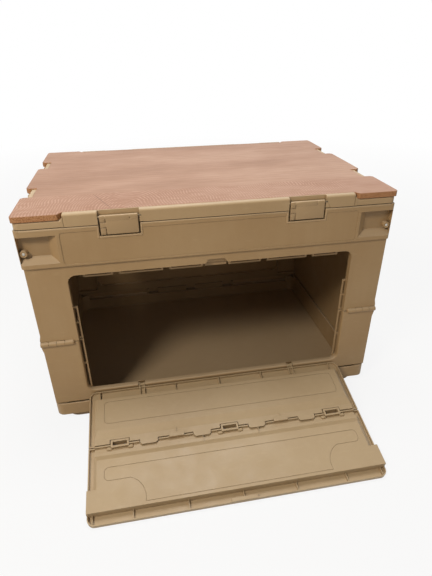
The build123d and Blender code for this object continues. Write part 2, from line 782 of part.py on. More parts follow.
# ---------------------------------------------------------------- lid, board and screws
lid_half_length = half_length - lid_inset
lid_half_width = half_width - lid_inset
locating_half_length = mouth_half_length - locating_gap
locating_half_width = mouth_half_width - locating_gap
screw_line = half_length - screw_end_inset
screw_row = half_width - screw_side_inset
screw_places = [(x, y) for x in (-screw_line, 0.0, screw_line) for y in (-screw_row, screw_row)]

with BuildPart() as lid_frame:
    with BuildSketch(Plane.XY.offset(lid_bottom)):
        RectangleRounded(2 * lid_half_length, 2 * lid_half_width, lid_corner)
    extrude(amount=lid_skirt_height)
    fillet(lid_frame.edges().group_by(Axis.Z)[-1], radius=lid_shoulder_round)
    with BuildSketch(Plane.XY.offset(lid_bottom)):
        RectangleRounded(
            2 * (lid_half_length - lid_skin),
            2 * (lid_half_width - lid_skin),
            lid_corner - lid_skin,
        )
    extrude(amount=lid_skirt_height - lid_plate, mode=Mode.SUBTRACT)
    # locating skirt that drops into the frame's mouth
    with BuildSketch(Plane.XY.offset(lid_bottom - locating_depth)):
        Rectangle(2 * locating_half_length, 2 * locating_half_width)
        Rectangle(
            2 * (locating_half_length - locating_skin),
            2 * (locating_half_width - locating_skin),
            mode=Mode.SUBTRACT,
        )
    extrude(amount=locating_depth + lid_skirt_height - lid_plate + 0.5)
    for place in (-2, -1, 0, 1, 2):
        rib_y = spread(0, 2 * locating_half_width - 2)
        block(spread(place * lid_rib_pitch + 20, lid_rib), rib_y, (lid_bottom, board_bottom - 1))
    for place in (-1, 0, 1):
        rib_x = spread(0, 2 * locating_half_length - 2)
        block(rib_x, spread(place * lid_rib_pitch, lid_rib), (lid_bottom, board_bottom - 1))
    for x, y in screw_places:
        with Locations((x, y, board_bottom - 1 - boss_height / 2)):
            Cylinder(boss_radius, boss_height)
    for side in (-1, 1):
        band_y = (side * half_width, side * band_back)
        block(spread(0, 2 * band_half_length), band_y, (lid_bottom, overall_height))
        round_edges = lid_frame.edges().filter_by(Axis.X).filter_by(
            lambda edge: abs(edge.center().Z - overall_height) < 0.01
            and abs(edge.center().Y - side * half_width) < 0.01
        )
        fillet(round_edges, radius=band_round)
        end_edges = lid_frame.edges().filter_by(Axis.Y).filter_by(
            lambda edge: abs(edge.center().Z - overall_height) < 0.01
            and abs(abs(edge.center().X) - band_half_length) < 0.01
            and edge.center().Y * side > 0
        )
        fillet(end_edges, radius=band_end_round)
        for hand in (-1, 1):
            # small gusset at the band's end
            with BuildSketch(Plane.XZ.offset(-side * half_width)):
                with BuildLine():
                    Polyline(
                        (hand * (band_half_length - 1), lid_bottom),
                        (hand * (band_half_length + band_gusset_length), lid_bottom),
                        (hand * (band_half_length + band_gusset_length), board_bottom),
                        (hand * (band_half_length - 1), overall_height - band_round),
                        close=True,
                    )
                make_face()
            extrude(amount=side * band_gusset_width)
            recess_x = spread(hand * latch_offset, latch_recess_width)
            recess_y = (side * (half_width + 1), side * latch_back_face)
            block(recess_x, recess_y, (lid_bottom - 1, overall_height + 1), Mode.SUBTRACT)
            bore_x = spread(hand * latch_offset, latch_recess_width + 2 * latch_pin_reach)
            bore = latch_pin_radius + running_gap
            rod_x(bore_x, side * latch_pivot_line, latch_pivot_height, bore, Mode.SUBTRACT)
            # sloping finger facet beside the recess
            facet_edge = hand * latch_offset - side * latch_recess_width / 2
            with BuildSketch(Plane.XZ.offset(-side * (half_width + 0.5))):
                with BuildLine():
                    Polyline(
                        (facet_edge + side * 1, lid_bottom - 1),
                        (facet_edge - side * latch_finger_facet, lid_bottom - 1),
                        (facet_edge, overall_height - 4),
                        (facet_edge + side * 1, overall_height - 4),
                        close=True,
                    )
                make_face()
            extrude(amount=side * 1.7, mode=Mode.SUBTRACT)
    for end in (-1, 1):
        for place in (-grip_notch_offset, grip_notch_offset):
            notch_x = (end * (lid_half_length + 1), end * (lid_half_length - lid_notch_depth))
            notch_y = spread(place, grip_notch_length - 6)
            block(notch_x, notch_y, (board_bottom - lid_plate - 1, board_bottom + 1), Mode.SUBTRACT)
            block(
                (end * (lid_half_length - lid_notch_depth - 2), end * (lid_half_length - lid_notch_depth)),
                notch_y,
                (lid_bottom, board_bottom - 1),
            )
    for x, y in screw_places:
        with Locations((x, y, board_bottom - boss_height)):
            Cylinder(screw_radius + screw_pilot_gap, 3 * boss_height, mode=Mode.SUBTRACT)
write(lid_frame.part, "lid_frame")

# upright strips bonded to the lid's plate, one along the inner side of each notch
with BuildPart() as notch_strips:
    strip_far = half_length - grip_notch_depth + notch_strip_gap
    strip_z = (board_bottom, overall_height - notch_strip_drop)
    for end in (-1, 1):
        for place in (-grip_notch_offset, grip_notch_offset):
            strip_x = (end * strip_far, end * (strip_far + notch_strip_width))
            block(strip_x, spread(place, grip_notch_length - 2 * notch_strip_end_gap), strip_z)
    fillet(notch_strips.edges().group_by(Axis.Z)[-1].filter_by(Axis.Y), radius=1.0)
write(notch_strips.part, "notch_strips")

with BuildPart() as table_board:
    with BuildSketch(Plane.XY.offset(board_bottom)):
        RectangleRounded(overall_length, overall_width, board_corner)
        for side in (-1, 1):
            edge = side * (band_back - board_edge_gap)
            with BuildLine():
                Polyline(
                    (-board_step_outer, side * half_width),
                    (-board_step_inner, edge),
                    (board_step_inner, edge),
                    (board_step_outer, side * half_width),
                    (board_step_outer, side * (half_width + 1)),
                    (-board_step_outer, side * (half_width + 1)),
                    close=True,
                )
            make_face(mode=Mode.SUBTRACT)
        for end in (-1, 1):
            for place in (-grip_notch_offset, grip_notch_offset):
                with Locations((end * (half_length - grip_notch_depth / 2 + 1), place)):
                    Rectangle(grip_notch_depth + 2, grip_notch_length, mode=Mode.SUBTRACT)
    extrude(amount=board_thickness)
    notch_corners = (
        table_board.edges()
        .filter_by(Axis.Z)
        .filter_by(
            lambda edge: abs(abs(edge.center().X) - half_length) < 0.01
            and abs(abs(edge.center().Y) - grip_notch_offset) < grip_notch_length / 2 + 0.01
        )
    )
    chamfer(notch_corners, length=grip_notch_chamfer)
    chamfer(table_board.faces().sort_by(Axis.Z)[-1].outer_wire().edges(), length=0.5)
    for x, y in screw_places:
        with Locations((x, y, board_bottom)):
            Cylinder(screw_radius + screw_pilot_gap, 2 * (screw_bite + 0.3), mode=Mode.SUBTRACT)
write(table_board.part, "table_board")

with BuildPart() as board_screws:
    head_top = board_bottom - 1 - boss_height
    for x, y in screw_places:
        with Locations((x, y, head_top - screw_head_height / 2)):
            Cylinder(screw_head_radius, screw_head_height)
        with Locations((x, y, (head_top - 0.5 + board_bottom + screw_bite) / 2)):
            Cylinder(screw_radius, board_bottom + screw_bite - head_top + 0.5)
write(board_screws.part, "board_screws")


# ---------------------------------------------------------------- latches
def make_latch(side, hand):
    """One latch lever with its moulded block pattern and the hook behind its lower edge."""
    middle = hand * latch_offset
    span = spread(middle, latch_width)
    front = side * (half_width + latch_proud)
    back = side * (half_width + latch_proud - latch_plate)
    with BuildPart() as latch:
        block(span, (front, back), (latch_bottom, latch_pivot_height))
        fillet(latch.edges().filter_by(Axis.X).group_by(Axis.Z)[0], radius=1.3)
        rod_x(span, side * latch_pivot_line, latch_pivot_height, latch_knuckle_radius)
        hook_low = latch_bottom + 0.3
        block(
            spread(middle, latch_hook_width),
            (side * (half_width + latch_proud - latch_plate + 0.5), back - side * latch_hook_reach),
            (hook_low, hook_low + latch_hook_height),
        )
        bore = latch_pin_radius + running_gap
        rod_x(span, side * latch_pivot_line, latch_pivot_height, bore, Mode.SUBTRACT)
        # slits that part the three small blocks on one side of the face
        block_edge = middle + side * latch_width / 2
        slit_x = block_edge - side * latch_block_width
        slit_y = (front + side, front - side * latch_slit)
        upper_split = latch_bottom + 17.0
        lower_split = latch_bottom + 9.5
        for split in (upper_split, lower_split):
            block((block_edge + side, slit_x), slit_y, spread(split, latch_slit), Mode.SUBTRACT)
        block(spread(slit_x, latch_slit), slit_y, (upper_split, latch_pivot_height + 3), Mode.SUBTRACT)
        block(spread(slit_x, latch_slit), slit_y, (latch_bottom - 1, lower_split), Mode.SUBTRACT)
        notch_x = spread(middle - side * latch_width * 0.28, latch_slit)
        top = latch_pivot_height + latch_knuckle_radius
        block(notch_x, (front + side, front - side * 2), (top - 1.2, top + 1), Mode.SUBTRACT)
    return latch.part


for side, side_name in ((-1, "front"), (1, "rear")):
    for hand, hand_name in ((-1, "left"), (1, "right")):
        write(make_latch(side, hand), f"{side_name}_{hand_name}_latch")
        with BuildPart() as latch_pin:
            pin_x = spread(hand * latch_offset, latch_recess_width + 2 * latch_pin_reach)
            rod_x(pin_x, side * latch_pivot_line, latch_pivot_height, latch_pin_radius)
        write(latch_pin.part, f"{side_name}_{hand_name}_latch_pin")


# ---------------------------------------------------------------- door, modelled lying open
# Profiles of the leaves are drawn as (along the door, height over the hinge axis).
door_profile = Plane(origin=door_plane.origin, x_dir=door_plane.y_dir, z_dir=door_plane.x_dir)
fold_line = -fold_reach
fold_low = fold_line + door_fold_gap / 2  # inner leaf's edge at the fold
fold_high = fold_line - door_fold_gap / 2  # outer leaf's edge at the fold
hinge_edge = -door_edge_reach
far_edge = -door_reach
plateau_half = door_half - door_side_channel
plateau_near = hinge_edge - door_hinge_channel
inner_slope_end = fold_low + inner_plateau_end
outer_slope_start = fold_high - outer_flange_end
plateau_far = far_edge + far_channel
ear_near = plateau_far + ear_length
flange_top = door_plateau_top - flange_drop
fold_hinge_places = (-door_fold_offset, 0.0, door_fold_offset)


def leaf_outline(near, far, rounded, inset):
    """Draw a leaf's outline with two rounded corners at the edge named by rounded."""
    middle = (near + far) / 2
    square = far + inset if rounded == near else near - inset
    with Locations((0, middle)):
        RectangleRounded(2 * (door_half - inset), near - far - 2 * inset, door_corner - inset)
    with Locations((0, (square + middle) / 2)):
        Rectangle(2 * (door_half - inset), abs(square - middle))


def leaf_skin(near, far, rounded):
    """Add a leaf's outer skin with the low rim around it."""
    with BuildSketch(door_plane.offset(door_outer_face)) as outside:
        leaf_outline(near, far, rounded, 0)
    extrude(outside.sketch, amount=door_rim)
    with BuildSketch(door_plane.offset(door_skin_top)) as inside:
        leaf_outline(near, far, rounded, door_rim_wall)
    extrude(inside.sketch, amount=door_rim, mode=Mode.SUBTRACT)


def ridge(points, half, mode=Mode.ADD):
    """Add or cut a bar whose profile is given along the door, reaching half to each side."""
    with BuildSketch(door_profile.offset(-half)) as profile:
        with BuildLine():
            Polyline(*points, close=True)
        make_face()
    extrude(profile.sketch, amount=2 * half, mode=mode)


def soften_plateau():
    """Slope the raised plateau's sides and round its other two edges."""
    top_face = door_leaf.faces().filter_by(on_plateau).sort_by(SortBy.AREA)[-1]
    sides = top_face.edges().filter_by(lambda edge: abs(edge.tangent_at(0.5).X) < 0.5)
    chamfer(sides, length=plateau_side_slope)
    top_face = door_leaf.faces().filter_by(on_plateau).sort_by(SortBy.AREA)[-1]
    fillet(top_face.edges().filter_by(Axis.X), radius=plateau_round)


def on_plateau(face):
    """Tell whether a face's middle lies at the plateau's height."""
    return abs(door_plane.to_local_coords(Vector(face.center())).Z - door_plateau_top) < 0.01


def fold_knuckle(place, near, far, radius, mode=Mode.ADD):
    """Add or cut a round bar on the fold line between two distances from a hinge's middle."""
    for hand in ((1,) if near < 0 else (-1, 1)):
        rod_x((place + hand * near, place + hand * far), fold_line, door_outer_face, radius, mode)


trench_near = fold_high - fold_strip
trench_far = trench_near - trench_width
trench_floor = flange_top - trench_depth


def stop_tab(place, width, root, tip, low):
    """Add a flat tab that reaches over the other leaf and stops the fold when it is straight."""
    with BuildSketch(door_plane.offset(low)) as tab:
        with BuildLine():
            Polyline(
                (place - width / 2, root),
                (place - width / 2, (root + 2 * tip) / 3),
                (place - width / 2 + 3, tip),
                (place + width / 2 - 3, tip),
                (place + width / 2, (root + 2 * tip) / 3),
                (place + width / 2, root),
                close=True,
            )
        make_face()
    extrude(tab.sketch, amount=tab_thickness)
    edge = fold_low if root > tip else fold_high
    block(spread(place, width), (root, edge), (flange_top - 0.5, low + tab_thickness))


with BuildPart(door_plane) as door_leaf:
    leaf_skin(hinge_edge, fold_low, hinge_edge)
    ridge(
        (
            (plateau_near, door_outer_face),
            (plateau_near - 0.6, door_plateau_top),
            (inner_slope_end + inner_fold_slope, door_plateau_top),
            (inner_slope_end, flange_top),
            (fold_low, flange_top),
            (fold_low, door_outer_face),
        ),
        plateau_half,
    )
    soften_plateau()
    ridge(
        (
            (plateau_near - plateau_shell, door_skin_top),
            (plateau_near - plateau_shell - 0.5, door_plateau_top - plateau_shell),
            (inner_slope_end + inner_fold_slope + 0.5, door_plateau_top - plateau_shell),
            (inner_slope_end + 0.5, flange_top - plateau_shell),
            (fold_low + plateau_shell, flange_top - plateau_shell),
            (fold_low + plateau_shell, door_skin_top),
        ),
        plateau_half - plateau_shell,
        Mode.SUBTRACT,
    )
    for place in sorted({hand * rib for rib in hinge_ribs for hand in (-1, 1)}):
        rib_z = (door_outer_face + 1, door_rim_top)
        block(spread(place, channel_rib), (hinge_edge - 1, plateau_near - 1), rib_z)
    for hand in (-1, 1):
        arm = hand * door_hinge_offset
        arm_z = (-door_arm_radius, door_rim_top - 0.5)
        channel_z = (door_skin_top, door_plateau_top)
        block(spread(arm, door_arm_width), (hinge_edge - 2, plateau_near + 1), channel_z, Mode.SUBTRACT)
        for edge in (-1, 1):
            cheek = spread(arm + edge * (door_arm_width - door_arm_cheek) / 2, door_arm_cheek)
            block(cheek, (0, plateau_near - 1), arm_z)
            rod_x(cheek, 0, 0, door_arm_radius)
        rod_x(spread(arm, door_arm_width), 0, 0, door_arm_barrel)
        block(spread(arm, door_arm_width), (0, plateau_near - 1), (-door_arm_radius, -door_arm_web))
        bore = door_pin_radius + running_gap
        rod_x(spread(arm, door_arm_width), 0, 0, bore, Mode.SUBTRACT)
    for place in fold_hinge_places:
        # solid seat for the outer leaf's ring, with a well through its middle
        seat_half = ring_length / 2 + ring_gap
        seat_far = fold_line + ring_width / 2 + ring_gap
        seat_z = (flange_top - ring_height - moving_gap, flange_top + 1)
        block(spread(place, 2 * seat_half + 4), (seat_far + 2, fold_low), (door_outer_face, flange_top))
        block(spread(place, 2 * seat_half), (seat_far, fold_low - 1), seat_z, Mode.SUBTRACT)
        well_y = (fold_line + ring_width / 2 - ring_wall, fold_low - 1)
        well_z = (door_skin_top, flange_top)
        block(spread(place, ring_length - 2 * ring_wall), well_y, well_z, Mode.SUBTRACT)
        clear = door_knuckle_radius + moving_gap
        outer_end = door_fold_pin_half + moving_gap
        fold_knuckle(place, door_centre_knuckle / 2, outer_end, clear, Mode.SUBTRACT)
        fold_knuckle(place, -door_centre_knuckle / 2, door_centre_knuckle / 2, door_knuckle_radius)
        fold_knuckle(place, -outer_end, outer_end, door_pin_radius + running_gap, Mode.SUBTRACT)
    for offset in stop_tabs_over_outer:
        for hand in (-1, 1):
            tongue_low = flange_top - tab_thickness
            stop_tab(hand * offset, stop_tab_width, fold_low + tab_thickness, fold_low - tongue_reach, tongue_low)
    for hand in (-1, 1):
        tick_y = (fold_high + tab_reach + tab_gap, inner_slope_end + inner_fold_slope / 2)
        tick_x = spread(hand * stop_tab_over_inner, tick_width)
        block(tick_x, tick_y, (flange_top - 1, flange_top + tick_proud))
    # thin line around the plateau
    line_half = plateau_half - line_inset
    line_near = plateau_near - line_hinge_margin
    line_far = inner_slope_end + inner_fold_slope + line_margin
    with BuildSketch(door_plane.offset(door_plateau_top)):
        with Locations((0, (line_near + line_far) / 2)):
            RectangleRounded(2 * line_half, line_near - line_far, line_corner)
            RectangleRounded(
                2 * (line_half - line_width),
                line_near - line_far - 2 * line_width,
                line_corner - line_width,
                mode=Mode.SUBTRACT,
            )
    extrude(amount=-line_depth, mode=Mode.SUBTRACT)
write(door_leaf.part, "door_lower_leaf")

with BuildPart(door_plane) as door_leaf:
    leaf_skin(fold_high, far_edge, far_edge)
    ridge(
        (
            (fold_high, door_outer_face),
            (fold_high, flange_top),
            (outer_slope_start, flange_top),
            (outer_slope_start - outer_fold_slope, door_plateau_top),
            (plateau_far + 0.6, door_plateau_top),
            (plateau_far, door_outer_face),
        ),
        plateau_half,
    )
    soften_plateau()
    ear_y = (ear_near, plateau_far + 0.3)
    block(spread(0, 2 * door_half), ear_y, (door_outer_face, door_plateau_top))
    ridge(
        (
            (trench_far - plateau_shell, door_skin_top),
            (trench_far - plateau_shell, flange_top - plateau_shell),
            (outer_slope_start - 0.5, flange_top - plateau_shell),
            (outer_slope_start - outer_fold_slope - 0.5, door_plateau_top - plateau_shell),
            (plateau_far + plateau_shell + 0.5, door_plateau_top - plateau_shell),
            (plateau_far + plateau_shell, door_skin_top),
        ),
        plateau_half - plateau_shell,
        Mode.SUBTRACT,
    )
    trench_y = (trench_near, trench_far)
    block(spread(0, 2 * plateau_half), trench_y, (trench_floor, flange_top + 1), Mode.SUBTRACT)
    for place in sorted({hand * rib for rib in far_ribs for hand in (-1, 1)}):
        rib_z = (door_outer_face + 1, door_rim_top)
        block(spread(place, channel_rib), (plateau_far + 1, far_edge + 1), rib_z)
    lip_z = (door_outer_face, door_rim_top + finger_lip_height)
    block(spread(0, finger_lip_width), (far_edge, far_edge + finger_lip_depth), lip_z)
    for place in fold_hinge_places:
        clear = door_knuckle_radius + moving_gap
        centre = door_centre_knuckle / 2
        # open ring that reaches over the fold into the inner leaf's seat
        root_y = (fold_high, fold_line - ring_width / 2 - 2)
        block(spread(place, ring_length + 4), root_y, (door_outer_face, trench_floor))
        for hand in (-1, 1):
            bump_x = spread(place + hand * bump_offset, bump_length - 2 * bump_radius)
            bump_y = trench_near - bump_radius
            rod_x(bump_x, bump_y, trench_floor, bump_radius)
            with Locations(*((end, bump_y, trench_floor) for end in bump_x)):
                Sphere(bump_radius)
        fold_knuckle(place, -centre - moving_gap, centre + moving_gap, clear, Mode.SUBTRACT)
        ring_z = (flange_top - ring_height, flange_top + ring_proud)
        block(spread(place, ring_length), spread(fold_line, ring_width), ring_z)
        hole_z = (door_skin_top, flange_top + 1)
        hole_y = spread(fold_line, ring_width - 2 * ring_wall)
        block(spread(place, ring_length - 2 * ring_wall), hole_y, hole_z, Mode.SUBTRACT)
        fold_knuckle(place, centre + moving_gap, door_fold_pin_half, door_knuckle_radius)
        bore = door_pin_radius + running_gap
        fold_knuckle(place, -door_fold_pin_half - 1, door_fold_pin_half + 1, bore, Mode.SUBTRACT)
    for hand in (-1, 1):
        tab_x = spread(hand * stop_tab_over_inner, inner_tab_width)
        tab_low = flange_top + tab_gap
        block(tab_x, (trench_near, fold_high), (trench_floor, tab_low + tab_thickness))
        stop_tab(hand * stop_tab_over_inner, inner_tab_width, trench_near, fold_high + tab_reach, tab_low)
        for offset in stop_tabs_over_outer:
            # opening in the edge strip for the tongue, and the pad that it rests on
            tongue_x = spread(hand * offset, stop_tab_width + 2 * tongue_side_gap)
            strip_y = (trench_near - 1, fold_high + 1)
            block(tongue_x, strip_y, (trench_floor, flange_top + 1), Mode.SUBTRACT)
            pad_y = (fold_high, fold_low - tongue_reach + 1)
            pad_z = (trench_floor - 0.2, flange_top - tab_thickness - tongue_pad_gap)
            block(spread(hand * offset, stop_tab_width - 6), pad_y, pad_z)
        tick_y = (fold_low - tongue_reach - tongue_side_gap, outer_slope_start - outer_fold_slope / 2)
        tick_x = spread(hand * stop_tabs_over_outer[0], tick_width)
        block(tick_x, tick_y, (trench_floor - 0.5, flange_top + tick_proud))
    # thin line around the plateau, stepped in towards the far edge
    line_near = outer_slope_start - outer_fold_slope - line_wide_margin
    line_step = ear_near + line_margin
    line_far = plateau_far + line_margin / 2
    with BuildSketch(door_plane.offset(door_plateau_top)):
        with BuildLine() as line_path:
            turn_start = line_half - line_notch
            turn_end = turn_start - line_notch_run
            turn_middle = turn_start - line_notch_run * sin(radians(45))
            turn_height = line_far + (line_step - line_far) * cos(radians(45))
            FilletPolyline(
                (-turn_start, line_step),
                (-line_half, line_step),
                (-line_half, line_near),
                (line_half, line_near),
                (line_half, line_step),
                (turn_start, line_step),
                radius=line_corner,
            )
            ThreePointArc((turn_start, line_step), (turn_middle, turn_height), (turn_end, line_far))
            Line((turn_end, line_far), (-turn_end, line_far))
            ThreePointArc((-turn_end, line_far), (-turn_middle, turn_height), (-turn_start, line_step))
        trace(line_path.edges(), line_width=line_width)
    extrude(amount=-line_depth, mode=Mode.SUBTRACT)
write(door_leaf.part, "door_upper_leaf")

with BuildPart(door_plane) as door_hinge_pins:
    for hand in (-1, 1):
        pin_x = spread(hand * door_hinge_offset, 2 * door_pin_half)
        rod_x(pin_x, 0, 0, door_pin_radius)
write(door_hinge_pins.part, "door_hinge_pins")

with BuildPart(door_plane) as door_fold_pins:
    for place in fold_hinge_places:
        pin_x = spread(place, 2 * door_fold_pin_half)
        rod_x(pin_x, fold_line, door_outer_face, door_pin_radius)
write(door_fold_pins.part, "door_fold_pins")
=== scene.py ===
"""Looks of the chuck box: finishes, latches, knobs and hinge ends, studio and camera."""

import logging
import math
from collections.abc import Iterable
from dataclasses import dataclass
from enum import Enum

import bmesh
import bpy
from mathutils import Matrix, Vector

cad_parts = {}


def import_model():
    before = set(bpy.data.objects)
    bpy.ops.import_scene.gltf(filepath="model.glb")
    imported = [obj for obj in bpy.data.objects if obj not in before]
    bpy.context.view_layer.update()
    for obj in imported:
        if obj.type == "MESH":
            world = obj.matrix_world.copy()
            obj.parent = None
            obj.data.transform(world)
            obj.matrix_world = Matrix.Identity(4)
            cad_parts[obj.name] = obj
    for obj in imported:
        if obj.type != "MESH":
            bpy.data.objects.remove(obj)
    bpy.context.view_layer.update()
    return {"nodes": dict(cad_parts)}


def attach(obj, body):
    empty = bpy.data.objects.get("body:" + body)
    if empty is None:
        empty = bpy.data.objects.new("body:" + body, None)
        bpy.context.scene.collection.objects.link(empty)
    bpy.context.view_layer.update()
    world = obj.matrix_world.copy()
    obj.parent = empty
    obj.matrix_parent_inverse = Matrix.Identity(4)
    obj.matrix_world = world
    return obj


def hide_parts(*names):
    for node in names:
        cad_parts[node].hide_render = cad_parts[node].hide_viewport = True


log = logging.getLogger("chuck_box")

MM = 0.001
Vec3 = tuple[float, float, float]
Span = tuple[float, float]
Colour = tuple[float, float, float]
Socket = bpy.types.NodeSocket


class Side(Enum):
    """The long side that a fitting sits on, as the sign of its Y."""

    FRONT = -1
    REAR = 1


class Hand(Enum):
    """The end that a fitting sits towards, as the sign of its X."""

    LEFT = -1
    RIGHT = 1


class Axis(Enum):
    """The axis that a round bar runs along."""

    X = "X"
    Y = "Y"
    Z = "Z"


def corner_name(side: Side, hand: Hand, ending: str) -> str:
    """Name a fitting after the side and hand that it sits on."""
    return f"{side.name.lower()}_{hand.name.lower()}_{ending}"


# ---------------------------------------------------------------- material building


class NodeSheet:
    """A material's node tree with short calls for adding and joining nodes."""

    def __init__(self, name: str) -> None:
        """Start an empty material.

        Args:
            name: The material's name.
        """
        self.material = bpy.data.materials.new(name)
        self.material.use_nodes = True
        self.nodes = self.material.node_tree.nodes
        self.links = self.material.node_tree.links
        self.nodes.clear()
        self.output = self.nodes.new("ShaderNodeOutputMaterial")
        self.place = self.nodes.new("ShaderNodeTexCoord")

    def add(self, kind: str, inputs: dict | None = None, **settings) -> bpy.types.Node:
        """Add a node.

        Args:
            kind: Node type without the ShaderNode prefix.
            inputs: Socket values or output sockets, by input name or index.
            settings: Node properties to set before its sockets.

        Returns:
            The new node.
        """
        node = self.nodes.new("ShaderNode" + kind)
        for key, value in settings.items():
            setattr(node, key, value)
        for key, value in (inputs or {}).items():
            if isinstance(value, Socket):
                self.links.new(value, node.inputs[key])
            else:
                node.inputs[key].default_value = value
        return node

    def object_coords(
        self, scale: Vec3 = (1, 1, 1), turn: Vec3 = (0, 0, 0), shift: Vec3 = (0, 0, 0)
    ) -> Socket:
        """Object coordinates through a Mapping node.

        Args:
            scale: Scale along each axis.
            turn: Rotation in radians.
            shift: Offset after scaling and turning.

        Returns:
            The mapped vector's socket.
        """
        inputs = {"Vector": self.place.outputs["Object"], "Scale": scale, "Rotation": turn, "Location": shift}
        return self.add("Mapping", inputs).outputs["Vector"]

    def part(self, vector: Socket, axis: Axis) -> Socket:
        """Take one component of a vector."""
        return self.add("SeparateXYZ", {0: vector}).outputs[axis.value]

    def noise(
        self, vector: Socket, scale: float, detail: float = 3, rough: float = 0.5
    ) -> Socket:
        """A noise texture's factor.

        Args:
            vector: Where to read it.
            scale: Noise scale, per metre.
            detail: Octaves.
            rough: How much each octave adds.

        Returns:
            The factor socket.
        """
        inputs = {"Vector": vector, "Scale": scale, "Detail": detail, "Roughness": rough}
        return self.add("TexNoise", inputs).outputs["Fac"]

    def ramp(self, factor: Socket, stops: list[tuple[float, Colour | float]]) -> Socket:
        """A colour ramp.

        Args:
            factor: What drives it.
            stops: Positions with a colour or a grey level each.

        Returns:
            The ramp's colour socket.
        """
        node = self.add("ValToRGB", {"Fac": factor})
        elements = node.color_ramp.elements
        while len(elements) < len(stops):
            elements.new(0.5)
        for element, (position, level) in zip(elements, stops):
            colour = (level, level, level) if isinstance(level, (int, float)) else level
            element.position = position
            element.color = (*colour, 1)
        return node.outputs["Color"]

    def mix(
        self,
        factor: Socket | float,
        first: Socket | Colour,
        second: Socket | Colour,
        blend: str = "MIX",
    ) -> Socket:
        """Mix two colours.

        Args:
            factor: Share of the second colour.
            first: First colour or socket.
            second: Second colour or socket.
            blend: Blend mode.

        Returns:
            The mixed colour's socket.
        """
        node = self.add("Mix", data_type="RGBA", blend_type=blend)
        for index, value in ((0, factor), (6, first), (7, second)):
            if isinstance(value, Socket):
                self.links.new(value, node.inputs[index])
            else:
                node.inputs[index].default_value = (*value, 1) if isinstance(value, tuple) else value
        return node.outputs[2]

    def math(self, how: str, first: Socket, second: Socket | float = 0.0) -> Socket:
        """Join two numbers by a Math node and return its socket."""
        return self.add("Math", {0: first, 1: second}, operation=how).outputs[0]

    def window(self, value: Socket, low: float, high: float, soft: float) -> Socket:
        """A factor that is 1 between two limits.

        Args:
            value: What is tested.
            low: Lower limit.
            high: Upper limit.
            soft: Width of the change at each limit.

        Returns:
            The factor socket.
        """
        rise = self.add("MapRange", {0: value, 1: low - soft, 2: low + soft})
        fall = self.add("MapRange", {0: value, 1: high - soft, 2: high + soft, 3: 1.0, 4: 0.0})
        return self.math("MULTIPLY", rise.outputs[0], fall.outputs[0])

    def bump(
        self, height: Socket, depth: float, normal: Socket | None = None
    ) -> Socket:
        """A bump from a height.

        Args:
            height: Height from 0 to 1.
            depth: Real height of 1, in metres.
            normal: Normal to add it to.

        Returns:
            The bumped normal's socket.
        """
        inputs = {"Height": height, "Distance": depth, "Strength": 1.0}
        if normal is not None:
            inputs["Normal"] = normal
        return self.add("Bump", inputs).outputs["Normal"]

    def close(self, **sockets) -> bpy.types.Material:
        """Add the shader, join it to the output and return the material.

        Args:
            sockets: Principled inputs, with underscores for spaces.

        Returns:
            The finished material.
        """
        inputs = {key.replace("_", " "): value for key, value in sockets.items()}
        shader = self.add("BsdfPrincipled", inputs)
        self.links.new(shader.outputs["BSDF"], self.output.inputs["Surface"])
        return self.material


